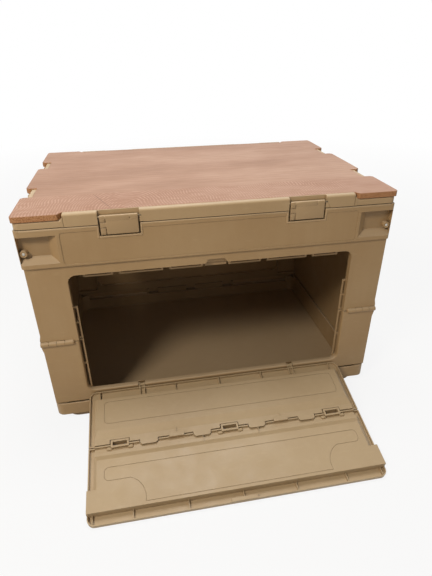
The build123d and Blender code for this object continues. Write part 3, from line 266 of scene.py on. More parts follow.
@dataclass(frozen=True)
class MouldedPlastic:
    """Tan polypropylene with a fine spark-eroded texture, painted highlights on its edges, a painted sheen on
    faces that look up and painted shade in its corners, gaps and inside.
    """

    name: str
    colour: Colour = (0.405, 0.262, 0.127)
    pale: Colour = (0.520, 0.368, 0.205)
    dark: Colour = (0.330, 0.203, 0.090)
    # painted shade: the dark colour that corners, gaps and the inside are mixed towards
    shade_colour: Colour = (0.070, 0.040, 0.018)
    roughness: float = 0.50
    edge: float = 0.7 * MM
    gap_reach: float = 5 * MM
    # share of the painted shade in corners and gaps
    shade_share: float = 0.85
    # painted sheen: the paler colour mixed onto faces that look up, and its share
    top_sheen: Colour = (0.600, 0.485, 0.340)
    top_sheen_share: float = 0.42
    # share of the painted shade on surfaces inside the box
    inside_shade_share: float = 0.25
    inside_half: tuple[float, float] = (261 * MM, 172 * MM)
    inside_rise: Span = (3 * MM, 334 * MM)

    def inside(self, sheet: NodeSheet) -> Socket:
        """Factor that is 1 on surfaces inside the box."""
        where = sheet.object_coords()
        length, width = self.inside_half
        across = sheet.window(sheet.part(where, Axis.X), -length, length, 2 * MM)
        deep = sheet.window(sheet.part(where, Axis.Y), -width, width, 2 * MM)
        high = sheet.window(sheet.part(where, Axis.Z), *self.inside_rise, 1 * MM)
        return sheet.math("MULTIPLY", sheet.math("MULTIPLY", across, deep), high)

    def build(self) -> bpy.types.Material:
        """Build the material."""
        sheet = NodeSheet(self.name)
        where = sheet.object_coords()
        tones = [(0.30, self.dark), (0.52, self.colour), (0.80, self.pale)]
        cloud = sheet.ramp(sheet.noise(where, 7, 4), tones)
        body = sheet.mix(0.35, self.colour, cloud)
        flow = sheet.noise(sheet.object_coords((30, 30, 4)), 3, 2)
        body = sheet.mix(sheet.ramp(flow, [(0.45, 0.0), (0.75, 0.10)]), body, self.pale)
        rubs = sheet.noise(sheet.object_coords((60, 220, 140)), 1, 6)
        scuff = sheet.ramp(rubs, [(0.60, 0.0), (0.72, 0.16)])
        body = sheet.mix(scuff, body, self.pale)
        speck = sheet.ramp(sheet.noise(where, 420, 2), [(0.28, 0.25), (0.36, 0.0)])
        body = sheet.mix(speck, body, self.dark)
        # painted sheen: faces that look up are mixed towards a paler, greyer colour
        up = sheet.part(sheet.place.outputs["Normal"], Axis.Z)
        body = sheet.mix(sheet.ramp(up, [(0.25, 0.0), (0.90, self.top_sheen_share)]), body, self.top_sheen)
        # painted shade: corners and gaps darkened by ambient occlusion
        hollow = sheet.add("AmbientOcclusion", {"Distance": self.gap_reach}, samples=4).outputs["AO"]
        painted_shade = sheet.ramp(hollow, [(0.10, self.shade_share), (0.55, 0.0)])
        body = sheet.mix(painted_shade, body, self.shade_colour)
        # painted shade: surfaces inside the box darkened
        body = sheet.mix(sheet.math("MULTIPLY", self.inside(sheet), self.inside_shade_share), body, self.shade_colour)
        # painted highlight: edges lightened where the bevel normal turns away from the face, but not in
        # hollows
        soft = sheet.add("Bevel", {"Radius": self.edge}, samples=4).outputs["Normal"]
        flat = sheet.add("NewGeometry").outputs["Normal"]
        turn = sheet.add("VectorMath", {0: soft, 1: flat}, operation="DOT_PRODUCT").outputs["Value"]
        painted_highlight = sheet.ramp(turn, [(0.80, 0.75), (0.985, 0.0)])
        painted_highlight = sheet.math("MULTIPLY", painted_highlight, sheet.ramp(hollow, [(0.45, 0.0), (0.75, 1.0)]))
        body = sheet.mix(painted_highlight, body, self.pale)
        wear = [(0.3, self.roughness - 0.06), (0.7, self.roughness + 0.07)]
        gloss = sheet.ramp(sheet.noise(where, 40, 3), wear)
        grit = sheet.noise(where, 1500, 2)
        normal = sheet.bump(grit, 0.05 * MM, soft)
        return sheet.close(Base_Color=body, Roughness=gloss, Normal=normal, IOR=1.49, Specular_IOR_Level=0.4)


@dataclass(frozen=True)
class TableWood:
    """Three glued staves with long fine grain, arched growth rings in the front one and bare sawn edges."""

    name: str = "board_wood"
    pale: Colour = (0.545, 0.345, 0.245)
    colour: Colour = (0.440, 0.258, 0.174)
    dark: Colour = (0.315, 0.170, 0.106)
    front_colour: Colour = (0.365, 0.190, 0.119)
    line_colour: Colour = (0.640, 0.430, 0.325)
    edge_colour: Colour = (0.540, 0.270, 0.115)
    edge_dark: Colour = (0.220, 0.080, 0.028)
    crack_colour: Colour = (0.120, 0.060, 0.035)
    front_joint: float = -105 * MM
    arch_centre: tuple[float, float] = (-112 * MM, -166 * MM)
    arch_squash: float = 0.60
    ring_pitch: float = 3.9 * MM
    crack_start: tuple[float, float] = (-163.5 * MM, -110 * MM)
    crack_end: tuple[float, float] = (-138.6 * MM, -171.5 * MM)
    crack_width: float = 0.35 * MM

    def wavy(self, sheet: NodeSheet, vector: Socket, scale: float, reach: float) -> Socket:
        """Push a vector about by a soft noise.

        Args:
            sheet: The node sheet.
            vector: The vector to push.
            scale: Noise scale, per metre.
            reach: Largest push, in metres.

        Returns:
            The pushed vector's socket.
        """
        noise = sheet.add("TexNoise", {"Vector": sheet.object_coords(), "Scale": scale, "Detail": 2.0})
        inputs = {0: noise.outputs["Color"], 1: (reach, reach, 0.0), 2: vector}
        return sheet.add("VectorMath", inputs, operation="MULTIPLY_ADD").outputs["Vector"]

    def arches(self, sheet: NodeSheet) -> Socket:
        """Growth rings that arch round one point, as a factor that is 1 on their pale lines."""
        x, y = self.arch_centre
        around = sheet.object_coords((1, self.arch_squash, 0), shift=(-x, -y * self.arch_squash, 0))
        around = self.wavy(sheet, around, 22, 16 * MM)
        away = sheet.add("VectorMath", {0: around}, operation="LENGTH").outputs["Value"]
        drift = sheet.math("MULTIPLY", sheet.noise(sheet.object_coords(), 14, 3), 1.2)
        step = sheet.math("FRACT", sheet.math("ADD", sheet.math("DIVIDE", away, self.ring_pitch), drift))
        rings = sheet.ramp(step, [(0.42, 0.0), (0.64, 1.0), (0.82, 1.0), (1.0, 0.0)])
        flecks = sheet.noise(sheet.object_coords((60, 170, 1)), 1, 4, 0.65)
        broken = sheet.ramp(flecks, [(0.36, 0.10), (0.56, 1.0)])
        return sheet.math("MULTIPLY", rings, broken)

    def long_grain(self, sheet: NodeSheet) -> Socket:
        """Growth rings that run along the board, as a factor that is 1 on the late wood."""
        along = self.wavy(sheet, sheet.object_coords((0.04, 1, 0)), 5, 26 * MM)
        step = sheet.math("FRACT", sheet.math("DIVIDE", sheet.part(along, Axis.Y), 12 * MM))
        return sheet.ramp(step, [(0.0, 0.3), (0.35, 0.0), (0.85, 0.8), (1.0, 0.3)])

    def crack(self, sheet: NodeSheet) -> Socket:
        """The thin dry crack near the front left corner, as a factor."""
        start, end = Vector(self.crack_start), Vector(self.crack_end)
        run = end - start
        turn = -math.atan2(run.y, run.x)
        moved = Matrix.Rotation(turn, 2) @ start
        line = sheet.object_coords(turn=(0, 0, turn), shift=(-moved.x, -moved.y, 0))
        line = self.wavy(sheet, line, 60, 3 * MM)
        across = sheet.part(line, Axis.Y)
        middle = 1.5 * MM
        thin = sheet.window(across, middle - self.crack_width, middle + self.crack_width, self.crack_width)
        return sheet.math("MULTIPLY", thin, sheet.window(sheet.part(line, Axis.X), 0.0, run.length, 4 * MM))

    def build(self) -> bpy.types.Material:
        """Build the material."""
        sheet = NodeSheet(self.name)
        where = sheet.object_coords()
        cloud = sheet.noise(sheet.object_coords((5, 13, 1)), 1, 4, 0.55)
        body = sheet.ramp(cloud, [(0.34, self.dark), (0.50, self.colour), (0.64, self.pale)])
        body = sheet.mix(0.60, self.colour, body)
        body = sheet.mix(sheet.math("MULTIPLY", self.long_grain(sheet), 0.22), body, self.dark)
        front = sheet.mix(sheet.ramp(cloud, [(0.38, 0.0), (0.62, 0.30)]), self.front_colour, self.pale)
        front = sheet.mix(sheet.math("MULTIPLY", self.arches(sheet), 0.52), front, self.line_colour)
        in_front = sheet.window(sheet.part(where, Axis.Y), -1.0, self.front_joint, 0.4 * MM)
        body = sheet.mix(in_front, body, front)
        pores = sheet.noise(sheet.object_coords((26, 640, 60)), 1, 4, 0.6)
        body = sheet.mix(sheet.ramp(pores, [(0.34, 0.45), (0.44, 0.0)]), body, self.dark)
        body = sheet.mix(sheet.ramp(pores, [(0.58, 0.0), (0.70, 0.40)]), body, self.pale)
        body = sheet.mix(sheet.math("MULTIPLY", self.crack(sheet), 0.85), body, self.crack_colour)
        up = sheet.part(sheet.place.outputs["Normal"], Axis.Z)
        fleck = sheet.noise(where, 900, 3, 0.7)
        side = sheet.ramp(fleck, [(0.38, self.edge_dark), (0.55, self.edge_colour), (0.75, self.colour)])
        body = sheet.mix(sheet.ramp(up, [(0.55, 0.0), (0.75, 1.0)]), side, body)
        soft = sheet.add("Bevel", {"Radius": 0.6 * MM}, samples=4).outputs["Normal"]
        normal = sheet.bump(pores, 0.10 * MM, soft)
        gloss = sheet.ramp(pores, [(0.3, 0.62), (0.7, 0.48)])
        return sheet.close(Base_Color=body, Roughness=gloss, Normal=normal, Specular_IOR_Level=0.3)


@dataclass(frozen=True)
class DrawnSteel:
    """Drawn wire with fine lengthwise lines and a dull spot here and there."""

    name: str = "drawn_steel"
    colour: Colour = (0.50, 0.47, 0.42)
    tarnish: Colour = (0.32, 0.29, 0.25)

    def build(self) -> bpy.types.Material:
        """Build the material."""
        sheet = NodeSheet(self.name)
        spots = sheet.noise(sheet.object_coords(), 260, 4)
        body = sheet.ramp(spots, [(0.35, self.tarnish), (0.55, self.colour)])
        lines = sheet.noise(sheet.object_coords((60, 3000, 3000)), 1, 2)
        gloss = sheet.ramp(lines, [(0.3, 0.28), (0.7, 0.45)])
        normal = sheet.bump(lines, 0.01 * MM)
        return sheet.close(Base_Color=body, Roughness=gloss, Metallic=1.0, Normal=normal)


# ---------------------------------------------------------------- mesh building


class Casting:
    """A piece's mesh, built up from rounded blocks, bars and rims given in millimetres."""

    def __init__(self, name: str) -> None:
        """Start an empty piece.

        Args:
            name: The piece's name.
        """
        self.name = name
        self.shape = bmesh.new()

    def soften(self, edges: Iterable[bmesh.types.BMEdge], radius: float, segments: int = 3) -> None:
        """Round some edges.

        Args:
            edges: The edges.
            radius: Their radius.
            segments: Steps in the rounding.
        """
        bmesh.ops.bevel(
            self.shape,
            geom=list(edges),
            offset=radius * MM,
            offset_type="OFFSET",
            affect="EDGES",
            segments=segments,
            profile=0.5,
            material=-1,
            clamp_overlap=True,
        )

    def block(self, x: Span, y: Span, z: Span, radius: float, segments: int = 3) -> None:
        """Add a block with rounded edges.

        Args:
            x: Limits along X.
            y: Limits along Y.
            z: Limits along Z.
            radius: Edge radius.
            segments: Steps in the rounding.
        """
        spans = [sorted(span) for span in (x, y, z)]
        verts = bmesh.ops.create_cube(self.shape, size=1)["verts"]
        bmesh.ops.scale(self.shape, vec=[(high - low) * MM for low, high in spans], verts=verts)
        bmesh.ops.translate(self.shape, vec=[(high + low) / 2 * MM for low, high in spans], verts=verts)
        self.soften({edge for vert in verts for edge in vert.link_edges}, radius, segments)

    def bar(
        self, axis: Axis, middle: Vec3, length: float, radius: float, rounding: float, sides: int = 48
    ) -> None:
        """Add a round bar with rounded rims.

        Args:
            axis: The axis it runs along.
            middle: Its middle.
            length: Its length.
            radius: Its radius.
            rounding: Rim radius.
            sides: Faces round it.
        """
        made = bmesh.ops.create_cone(
            self.shape,
            cap_ends=True,
            segments=sides,
            radius1=radius * MM,
            radius2=radius * MM,
            depth=length * MM,
            matrix=self.placed(axis, middle),
        )
        rims = {
            edge
            for vert in made["verts"]
            for edge in vert.link_edges
            if any(len(face.verts) > 4 for face in edge.link_faces)
        }
        self.soften(rims, rounding)

    def rim(self, axis: Axis, middle: Vec3, radius: float, tube: float, sides: int = 48) -> None:
        """Add a round-sectioned ring.

        Args:
            axis: The axis it goes round.
            middle: Its middle.
            radius: From the axis to the tube's middle.
            tube: The tube's radius.
            sides: Steps round it.
        """
        start = Matrix.Translation((radius * MM, 0, 0)) @ Matrix.Rotation(math.pi / 2, 4, "X")
        made = bmesh.ops.create_circle(self.shape, segments=16, radius=tube * MM, matrix=start)
        before = set(self.shape.verts) - set(made["verts"])
        edges = list({edge for vert in made["verts"] for edge in vert.link_edges})
        bmesh.ops.spin(
            self.shape,
            geom=made["verts"] + edges,
            cent=(0, 0, 0),
            axis=(0, 0, 1),
            angle=2 * math.pi,
            steps=sides,
            use_merge=True,
            use_duplicate=False,
        )
        verts = [vert for vert in self.shape.verts if vert not in before]
        faces = {face for vert in verts for face in vert.link_faces}
        bmesh.ops.recalc_face_normals(self.shape, faces=list(faces))
        bmesh.ops.transform(self.shape, matrix=self.placed(axis, middle), verts=verts)

    def bend(self, middle: Vec3, radius: float, tube: float, hand: Hand, side: Side) -> None:
        """Add a quarter turn of round bar at an upright corner.

        Args:
            middle: Centre of the turn.
            radius: From the centre to the bar's middle.
            tube: The bar's radius.
            hand: End of the box that the corner is at.
            side: Long side that the corner is at.
        """
        start = Matrix.Translation((radius * MM, 0, 0)) @ Matrix.Rotation(math.pi / 2, 4, "X")
        made = bmesh.ops.create_circle(self.shape, cap_ends=True, segments=20, radius=tube * MM, matrix=start)
        before = set(self.shape.verts) - set(made["verts"])
        faces = list({face for vert in made["verts"] for face in vert.link_faces})
        bmesh.ops.spin(
            self.shape,
            geom=faces,
            cent=(0, 0, 0),
            axis=(0, 0, 1),
            angle=math.pi / 2,
            steps=8,
            use_merge=False,
            use_duplicate=True,
        )
        verts = [vert for vert in self.shape.verts if vert not in before]
        bmesh.ops.remove_doubles(self.shape, verts=verts, dist=1e-6)
        verts = [vert for vert in self.shape.verts if vert not in before]
        flip = Matrix.Diagonal((hand.value, side.value, 1, 1))
        bmesh.ops.transform(self.shape, matrix=Matrix.Translation(Vector(middle) * MM) @ flip, verts=verts)
        faces = list({face for vert in verts for face in vert.link_faces})
        bmesh.ops.recalc_face_normals(self.shape, faces=faces)

    def dome(self, axis: Axis, middle: Vec3, radius: float, rise: float) -> None:
        """Add a flattened ball whose middle lies in the face that it stands on.

        Args:
            axis: The axis it is flattened along.
            middle: Its middle.
            radius: Its radius across.
            rise: Its height over the face.
        """
        flat = Matrix.Diagonal((1, 1, rise / radius, 1))
        matrix = self.placed(axis, middle) @ flat
        bmesh.ops.create_uvsphere(self.shape, u_segments=32, v_segments=16, radius=radius * MM, matrix=matrix)

    def placed(self, axis: Axis, middle: Vec3) -> Matrix:
        """The matrix that takes a shape round Z to one round the given axis."""
        turns = {
            Axis.X: Matrix.Rotation(math.pi / 2, 4, "Y"),
            Axis.Y: Matrix.Rotation(-math.pi / 2, 4, "X"),
            Axis.Z: Matrix.Identity(4),
        }
        return Matrix.Translation(Vector(middle) * MM) @ turns[axis]

    def half_turn(self) -> None:
        """Turn everything so far by half a turn about the upright axis."""
        bmesh.ops.rotate(
            self.shape, cent=(0, 0, 0), matrix=Matrix.Rotation(math.pi, 3, "Z"), verts=list(self.shape.verts)
        )

    def finish(
        self, body: str, material: bpy.types.Material, stands_for: str | None = None
    ) -> bpy.types.Object:
        """Make the piece's object and hand it to the frame.

        Args:
            body: The CAD body that it moves with.
            material: Its finish.
            stands_for: A CAD node that it replaces.

        Returns:
            The new object.
        """
        mesh = bpy.data.meshes.new(self.name)
        self.shape.to_mesh(mesh)
        self.shape.free()
        mesh.polygons.foreach_set("use_smooth", [True] * len(mesh.polygons))
        mesh.set_sharp_from_angle(angle=math.radians(40))
        mesh.materials.append(material)
        piece = bpy.data.objects.new(self.name, mesh)
        bpy.context.collection.objects.link(piece)
        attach(piece, body)
        if stands_for:
            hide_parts(stands_for)
        log.info("%s: %d faces on %s", self.name, len(mesh.polygons), body)
        return piece


@dataclass
class LatchLever:
    """One latch lever: pivot roll, broad finger plate, a column of small blocks and the hook behind."""

    side: Side
    hand: Hand
    middle: float = 130.0
    width: float = 50.0
    pivot_line: float = -179.8
    pivot_height: float = 346.0
    roll_radius: float = 2.8
    front: float = -182.6
    back: float = -179.6
    bottom: float = 322.5
    web_front: float = -181.4
    column: float = 7.0
    slit: float = 0.9
    block_splits: tuple[float, float] = (339.5, 332.0)
    block_recess: float = 0.3
    rounding: float = 0.8
    shoulder_foot: float = 341.0
    shoulder_split: float = 11.0
    hook_width: float = 38.0
    hook_tip: float = -176.2
    hook_height: float = 2.8
    hook_rise: float = 0.4
    hook_root: float = 0.5
    hook_rounding: float = 0.6
    web_inset: float = 0.3
    plate_inset: float = 0.4
    shoulder_overlap: float = 2.0
    shoulder_rounding: float = 1.0
    right_shoulder: float = 10.4
    block_rounding: float = 0.6
    bridge_rounding: float = 0.5

    def build(self, material: bpy.types.Material) -> None:
        """Build the lever.

        Args:
            material: Its finish.
        """
        casting = Casting(corner_name(self.side, self.hand, "latch_lever"))
        turned = self.side is Side.REAR
        centre = self.middle * self.hand.value * (-1 if turned else 1)
        left, right = centre - self.width / 2, centre + self.width / 2
        plate_left = left + self.column + self.slit
        roll = (centre, self.pivot_line, self.pivot_height)
        casting.bar(Axis.X, roll, self.width, self.roll_radius, self.rounding)
        web = (left + self.web_inset, right - self.web_inset)
        web_rise = (self.bottom + self.web_inset, self.pivot_height)
        casting.block(web, (self.web_front, self.back), web_rise, self.web_inset)
        depth = (self.front, self.back - self.plate_inset)
        plate_top = self.shoulder_foot + self.shoulder_overlap
        casting.block((plate_left, right), depth, (self.bottom, plate_top), self.rounding)
        upper, lower = self.block_splits
        column = (left, left + self.column)
        top = self.pivot_height + self.roll_radius
        for low, high in (
            column,
            (plate_left, right - self.shoulder_split),
            (right - self.right_shoulder, right),
        ):
            shoulder = (self.shoulder_foot, top)
            casting.block((low, high), (self.front, self.pivot_line), shoulder, self.shoulder_rounding)
        half_slit = self.slit / 2
        casting.block(column, depth, (upper + half_slit, plate_top), self.block_rounding)
        casting.block(column, depth, (self.bottom, lower - half_slit), self.block_rounding)
        bridge = (self.front + self.block_recess, self.back - self.plate_inset)
        bridge_rise = (lower + half_slit, upper - half_slit)
        casting.block((left, plate_left + self.shoulder_overlap), bridge, bridge_rise, self.bridge_rounding)
        half_hook = self.hook_width / 2
        foot = self.bottom + self.hook_rise
        casting.block(
            (centre - half_hook, centre + half_hook),
            (self.back - self.hook_root, self.hook_tip),
            (foot, foot + self.hook_height),
            self.hook_rounding,
        )
        if turned:
            casting.half_turn()
        body = corner_name(self.side, self.hand, "lever")
        casting.finish(body, material, corner_name(self.side, self.hand, "latch"))


@dataclass
class RodKnob:
    """The end of a panel rod in its corner pocket: a rounded rim on the boss and a bright domed rod end."""

    side: Side
    hand: Hand
    line: float = 258.0
    height: float = 302.0
    boss_face: float = 178.0
    rim_radius: float = 4.1
    rim_tube: float = 0.75
    dome_radius: float = 2.1
    dome_rise: float = 0.7

    def build(self, plastic: bpy.types.Material, steel: bpy.types.Material) -> None:
        """Build the rim and the rod end.

        Args:
            plastic: The rim's finish.
            steel: The rod end's finish.
        """
        middle = (self.hand.value * self.line, self.side.value * self.boss_face, self.height)
        rim = Casting(corner_name(self.side, self.hand, "knob_rim"))
        rim.rim(Axis.Y, middle, self.rim_radius, self.rim_tube)
        rim.finish("box", plastic)
        end = Casting(corner_name(self.side, self.hand, "rod_end"))
        end.dome(Axis.Y, middle, self.dome_radius, self.dome_rise)
        end.finish("box", steel)


@dataclass
class FrameBead:
    """The thin bead along the frame's top edge, which dips round each latch."""

    end_line: float = 263.5
    side_line: float = 181.0
    corner: float = 6.8
    top: float = 334.55
    tube: float = 1.45
    latch_middle: float = 130.0
    dip_half: float = 28.5
    dip_bottom: float = 319.2
    rounding: float = 0.4
    sides: int = 20

    def run(self, casting: Casting, axis: Axis, middle: Vec3, length: float) -> None:
        """Add one straight run of the bead.

        Args:
            casting: The shape to add to.
            axis: The axis it runs along.
            middle: Its middle.
            length: Its length between the runs that it meets.
        """
        casting.bar(axis, middle, length + self.tube, self.tube, self.rounding, self.sides)

    def build(self, material: bpy.types.Material) -> None:
        """Build the whole bead.

        Args:
            material: Its finish.
        """
        casting = Casting("frame_bead")
        straight = self.end_line - self.corner
        for side in Side:
            y = side.value * self.side_line
            for low, high in (
                (-straight, -self.latch_middle - self.dip_half),
                (-self.latch_middle + self.dip_half, self.latch_middle - self.dip_half),
                (self.latch_middle + self.dip_half, straight),
            ):
                self.run(casting, Axis.X, ((low + high) / 2, y, self.top), high - low)
            for hand in Hand:
                middle = hand.value * self.latch_middle
                self.run(casting, Axis.X, (middle, y, self.dip_bottom), 2 * self.dip_half)
                for edge in (middle - self.dip_half, middle + self.dip_half):
                    rise = self.top - self.dip_bottom
                    self.run(casting, Axis.Z, (edge, y, self.dip_bottom + rise / 2), rise)
                turn = (hand.value * straight, side.value * (self.side_line - self.corner), self.top)
                casting.bend(turn, self.corner, self.tube, hand, side)
        for hand in Hand:
            length = 2 * (self.side_line - self.corner)
            self.run(casting, Axis.Y, (hand.value * self.end_line, 0, self.top), length)
        casting.finish("box", material)


@dataclass
class KnuckleEnd:
    """The rounded inner end of a row of fold knuckles."""

    side: Side
    hand: Hand
    line: float = 218.0
    face: float = 179.0
    height: float = 156.16
    radius: float = 4.1
    reach: float = 2.4

    def build(self, material: bpy.types.Material) -> None:
        """Build the rounded end.

        Args:
            material: Its finish.
        """
        casting = Casting(corner_name(self.side, self.hand, "knuckle_end"))
        middle = (self.hand.value * self.line, self.side.value * self.face, self.height)
        casting.dome(Axis.X, middle, self.radius, self.reach)
        casting.finish("box", material)


@dataclass
class WallLaps:
    """The thin tongues that close the rear wall's fold line and its foot against light."""

    half_length: float = 258.0
    fold_depth: Span = (176.0, 177.2)
    fold_height: Span = (155.2, 157.1)
    foot_depth: Span = (175.9, 177.1)
    foot_height: Span = (36.0, 41.4)
    fold_rounding: float = 0.2
    foot_rounding: float = 0.3
    steps: int = 2

    def build(self, material: bpy.types.Material) -> None:
        """Build both tongues as one piece.

        Args:
            material: Their finish.
        """
        casting = Casting("rear_wall_laps")
        along = (-self.half_length, self.half_length)
        casting.block(along, self.fold_depth, self.fold_height, self.fold_rounding, self.steps)
        casting.block(along, self.foot_depth, self.foot_height, self.foot_rounding, self.steps)
        casting.finish("box", material)


@dataclass
class BoardScrews:
    """The pan-head screws that hold the table board, seen from inside the lid."""

    along: tuple[float, ...] = (-200.0, 0.0, 200.0)
    across: tuple[float, ...] = (-120.0, 120.0)
    head: Span = (337.8, 340.0)
    head_radius: float = 3.4
    shank_radius: float = 1.5
    tip: float = 352.0
    socket: float = 1.3
    socket_tube: float = 0.28
    head_rounding: float = 0.9
    shank_rounding: float = 0.4
    shank_root: float = 0.5
    sides: int = 24

    def build(self, material: bpy.types.Material) -> None:
        """Build all the screws as one piece.

        Args:
            material: Their finish.
        """
        casting = Casting("lid_screws")
        low, high = self.head
        root = high - self.shank_root
        for x in self.along:
            for y in self.across:
                head = (x, y, (low + high) / 2)
                casting.bar(Axis.Z, head, high - low, self.head_radius, self.head_rounding)
                shank = (x, y, (root + self.tip) / 2)
                length = self.tip - root
                casting.bar(Axis.Z, shank, length, self.shank_radius, self.shank_rounding, self.sides)
                casting.rim(Axis.Z, (x, y, low), self.socket, self.socket_tube, self.sides)
        casting.finish("lid", material, "board_screws")


# ---------------------------------------------------------------- studio


@dataclass
class Studio:
    """Pale floor, soft lamps and the camera."""

    camera_place: Vec3 = (-0.10359, -0.75157, 0.55090)
    yaw: float = 0.1767
    pitch: float = 0.5128
    roll: float = -0.0112
    lens: float = 28.046
    surround: float = 0.16
    floor_glow: float = 0.88
    shadow_reach: Span = (0.7, 2.2)

    def build(self) -> None:
        """Build the whole studio."""
        self.build_floor()
        self.build_world()
        self.build_lamps()
        self.build_camera()
        bpy.context.scene.view_settings.view_transform = "Standard"
        log.info("studio: floor, surround, lamps and camera")

    def seen_white(self, sheet: NodeSheet) -> Socket:
        """Factor that is 1 for what the lens, a gloss or a clear part sees."""
        path = sheet.add("LightPath")
        seen = sheet.math("MAXIMUM", path.outputs["Is Camera Ray"], path.outputs["Is Glossy Ray"])
        return sheet.math("MAXIMUM", seen, path.outputs["Is Transmission Ray"])

    def build_floor(self) -> None:
        """Build the floor plate, near white to the eye but still taking a soft shadow."""
        mesh = bpy.data.meshes.new("floor")
        shape = bmesh.new()
        bmesh.ops.create_grid(shape, x_segments=1, y_segments=1, size=6)
        shape.to_mesh(mesh)
        shape.free()
        floor = bpy.data.objects.new("floor", mesh)
        bpy.context.collection.objects.link(floor)
        sheet = NodeSheet("floor")
        matt = sheet.add("BsdfDiffuse", {"Color": (0.62, 0.60, 0.57, 1)})
        glow = sheet.add("Emission", {"Color": (1, 1, 1, 1), "Strength": 1.0})
        away = sheet.add("VectorMath", {0: sheet.object_coords()}, operation="LENGTH").outputs["Value"]
        near, far = self.shadow_reach
        glow_share = sheet.add("MapRange", {0: away, 1: near, 2: far, 3: self.floor_glow, 4: 1.0}).outputs[0]
        share = sheet.math("MULTIPLY", self.seen_white(sheet), glow_share)
        both = sheet.add("MixShader", {0: share, 1: matt.outputs[0], 2: glow.outputs[0]})
        sheet.links.new(both.outputs[0], sheet.output.inputs["Surface"])
        mesh.materials.append(sheet.material)

    def build_world(self) -> None:
        """Build the even surround."""
        world = bpy.data.worlds.new("surround")
        world.use_nodes = True
        bpy.context.scene.world = world
        nodes, links = world.node_tree.nodes, world.node_tree.links
        nodes.clear()
        path = nodes.new("ShaderNodeLightPath")
        gloss = nodes.new("ShaderNodeMath")
        gloss.operation = "MAXIMUM"
        links.new(path.outputs["Is Camera Ray"], gloss.inputs[0])
        links.new(path.outputs["Is Glossy Ray"], gloss.inputs[1])
        light = nodes.new("ShaderNodeBackground")
        light.inputs["Color"].default_value = (1.0, 0.985, 0.96, 1)
        light.inputs["Strength"].default_value = self.surround
        plain = nodes.new("ShaderNodeBackground")
        plain.inputs["Color"].default_value = (1, 1, 1, 1)
        both = nodes.new("ShaderNodeMixShader")
        out = nodes.new("ShaderNodeOutputWorld")
        links.new(gloss.outputs[0], both.inputs[0])
        links.new(light.outputs[0], both.inputs[1])
        links.new(plain.outputs[0], both.inputs[2])
        links.new(both.outputs[0], out.inputs["Surface"])

    def build_lamps(self) -> None:
        """Build the overhead lamp, the key from the front left and the two weak fills."""
        self.lamp("overhead", (0.02, 0.12, 1.9), (0, -0.08, 0.2), 0.6, 17, (0.97, 0.985, 1.0))
        self.lamp("key", (-0.85, -1.0, 1.30), (-0.12, -0.2, 0.25), 0.35, 14, (1.0, 0.93, 0.82))
        self.lamp("fill", (1.5, -2.0, 1.1), (0, 0, 0.2), 2.0, 3, (1.0, 0.97, 0.93))
        rear = self.lamp("rear_fill", (0.6, 2.2, 0.8), (0, 0.1, 0.2), 2.0, 10, (1.0, 0.97, 0.93))
        rear.visible_glossy = False

    def lamp(
        self, name: str, place: Vec3, aim: Vec3, size: float, watts: float, colour: Colour
    ) -> bpy.types.Object:
        """Add an area lamp.

        Args:
            name: Its name.
            place: Where it hangs.
            aim: The point it faces.
            size: Its side, in metres.
            watts: Its power.
            colour: Its colour.

        Returns:
            The lamp.
        """
        data = bpy.data.lights.new(name, "AREA")
        data.size = size
        data.energy = watts
        data.color = colour
        lamp = bpy.data.objects.new(name, data)
        lamp.location = place
        lamp.rotation_euler = (Vector(aim) - Vector(place)).to_track_quat("-Z", "Y").to_euler()
        bpy.context.collection.objects.link(lamp)
        return lamp

    def build_camera(self) -> None:
        """Build the camera from its place and its three turns."""
        flat = math.cos(self.pitch)
        ahead = Vector((math.sin(self.yaw) * flat, math.cos(self.yaw) * flat, -math.sin(self.pitch)))
        right = Vector((math.cos(self.yaw), -math.sin(self.yaw), 0))
        up = right.cross(ahead)
        leaned_right = right * math.cos(self.roll) + up * math.sin(self.roll)
        leaned_up = up * math.cos(self.roll) - right * math.sin(self.roll)
        turn = Matrix((leaned_right, leaned_up, -ahead)).transposed().to_4x4()
        data = bpy.data.cameras.new("camera")
        data.lens = self.lens
        camera = bpy.data.objects.new("camera", data)
        camera.matrix_world = Matrix.Translation(self.camera_place) @ turn
        bpy.context.collection.objects.link(camera)
        bpy.context.scene.camera = camera


# ---------------------------------------------------------------- the whole box


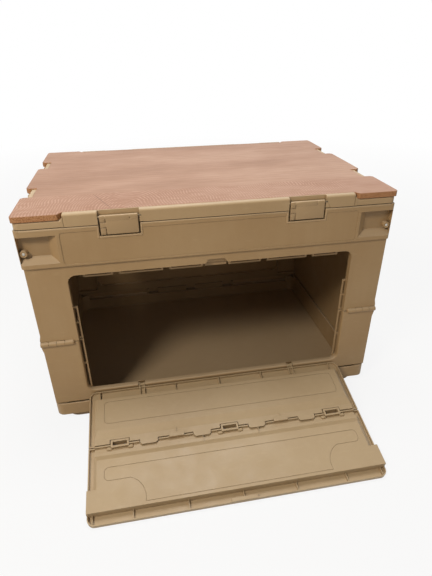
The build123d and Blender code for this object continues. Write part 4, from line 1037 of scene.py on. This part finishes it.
@dataclass
class ChuckBox:
    """The box's CAD nodes with their finishes, and the pieces modelled over them."""

    nodes: dict[str, bpy.types.Object]

    def build(self) -> None:
        """Dress the CAD nodes, then build the new pieces."""
        body = MouldedPlastic("moulded_plastic").build()
        # painted light: the door's colours are paler and greyer than the body's, standing in for the sheen on
        # its faces that look up; it has less painted shade in its gaps
        door = MouldedPlastic(
            "door_plastic",
            (0.435, 0.315, 0.180),
            (0.540, 0.410, 0.255),
            (0.370, 0.258, 0.140),
            roughness=0.46,
            gap_reach=2.5 * MM,
            shade_share=0.55,
            top_sheen_share=0.0,
        ).build()
        latch = MouldedPlastic(
            "latch_plastic",
            (0.425, 0.285, 0.148),
            (0.530, 0.380, 0.220),
            (0.350, 0.220, 0.105),
            roughness=0.44,
        ).build()
        lid = MouldedPlastic(
            "lid_plastic",
            (0.470, 0.322, 0.172),
            (0.570, 0.415, 0.245),
            (0.385, 0.250, 0.122),
        ).build()
        # painted highlight: a paler copy of the body plastic with less painted shade, for the notch strips
        # and the bead
        painted_highlight = MouldedPlastic("highlight_plastic", (0.480, 0.330, 0.178), shade_share=0.6).build()
        wood = TableWood().build()
        steel = DrawnSteel().build()
        pin = DrawnSteel("dull_pin", (0.20, 0.155, 0.10), (0.11, 0.08, 0.05)).build()
        for name in self.nodes:
            if name == "table_board":
                self.dress(name, wood)
            elif name.startswith("door") and "leaf" in name:
                self.dress(name, door)
            elif name == "notch_strips":
                self.dress(name, painted_highlight)
            elif name == "lid_frame":
                self.dress(name, lid)
            elif "rod" in name or "screws" in name:
                self.dress(name, steel)
            elif "pin" in name:
                self.dress(name, pin)
            else:
                self.dress(name, latch if name.endswith("latch") else body)
        for side in Side:
            for hand in Hand:
                LatchLever(side, hand).build(latch)
                RodKnob(side, hand).build(body, steel)
                KnuckleEnd(side, hand).build(body)
        FrameBead().build(painted_highlight)
        WallLaps().build(body)
        BoardScrews().build(steel)

    def dress(self, name: str, material: bpy.types.Material) -> None:
        """Give one CAD node a finish.

        Args:
            name: The node's name.
            material: Its finish.
        """
        mesh = self.nodes[name].data
        mesh.materials.clear()
        mesh.materials.append(material)
        log.info("%s: %s", name, material.name)


def main() -> None:
    """Build the looks around the frame."""
    logging.basicConfig(level=logging.INFO)
    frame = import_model()
    ChuckBox(frame["nodes"]).build()
    Studio().build()


if __name__ == "__main__":
    main()
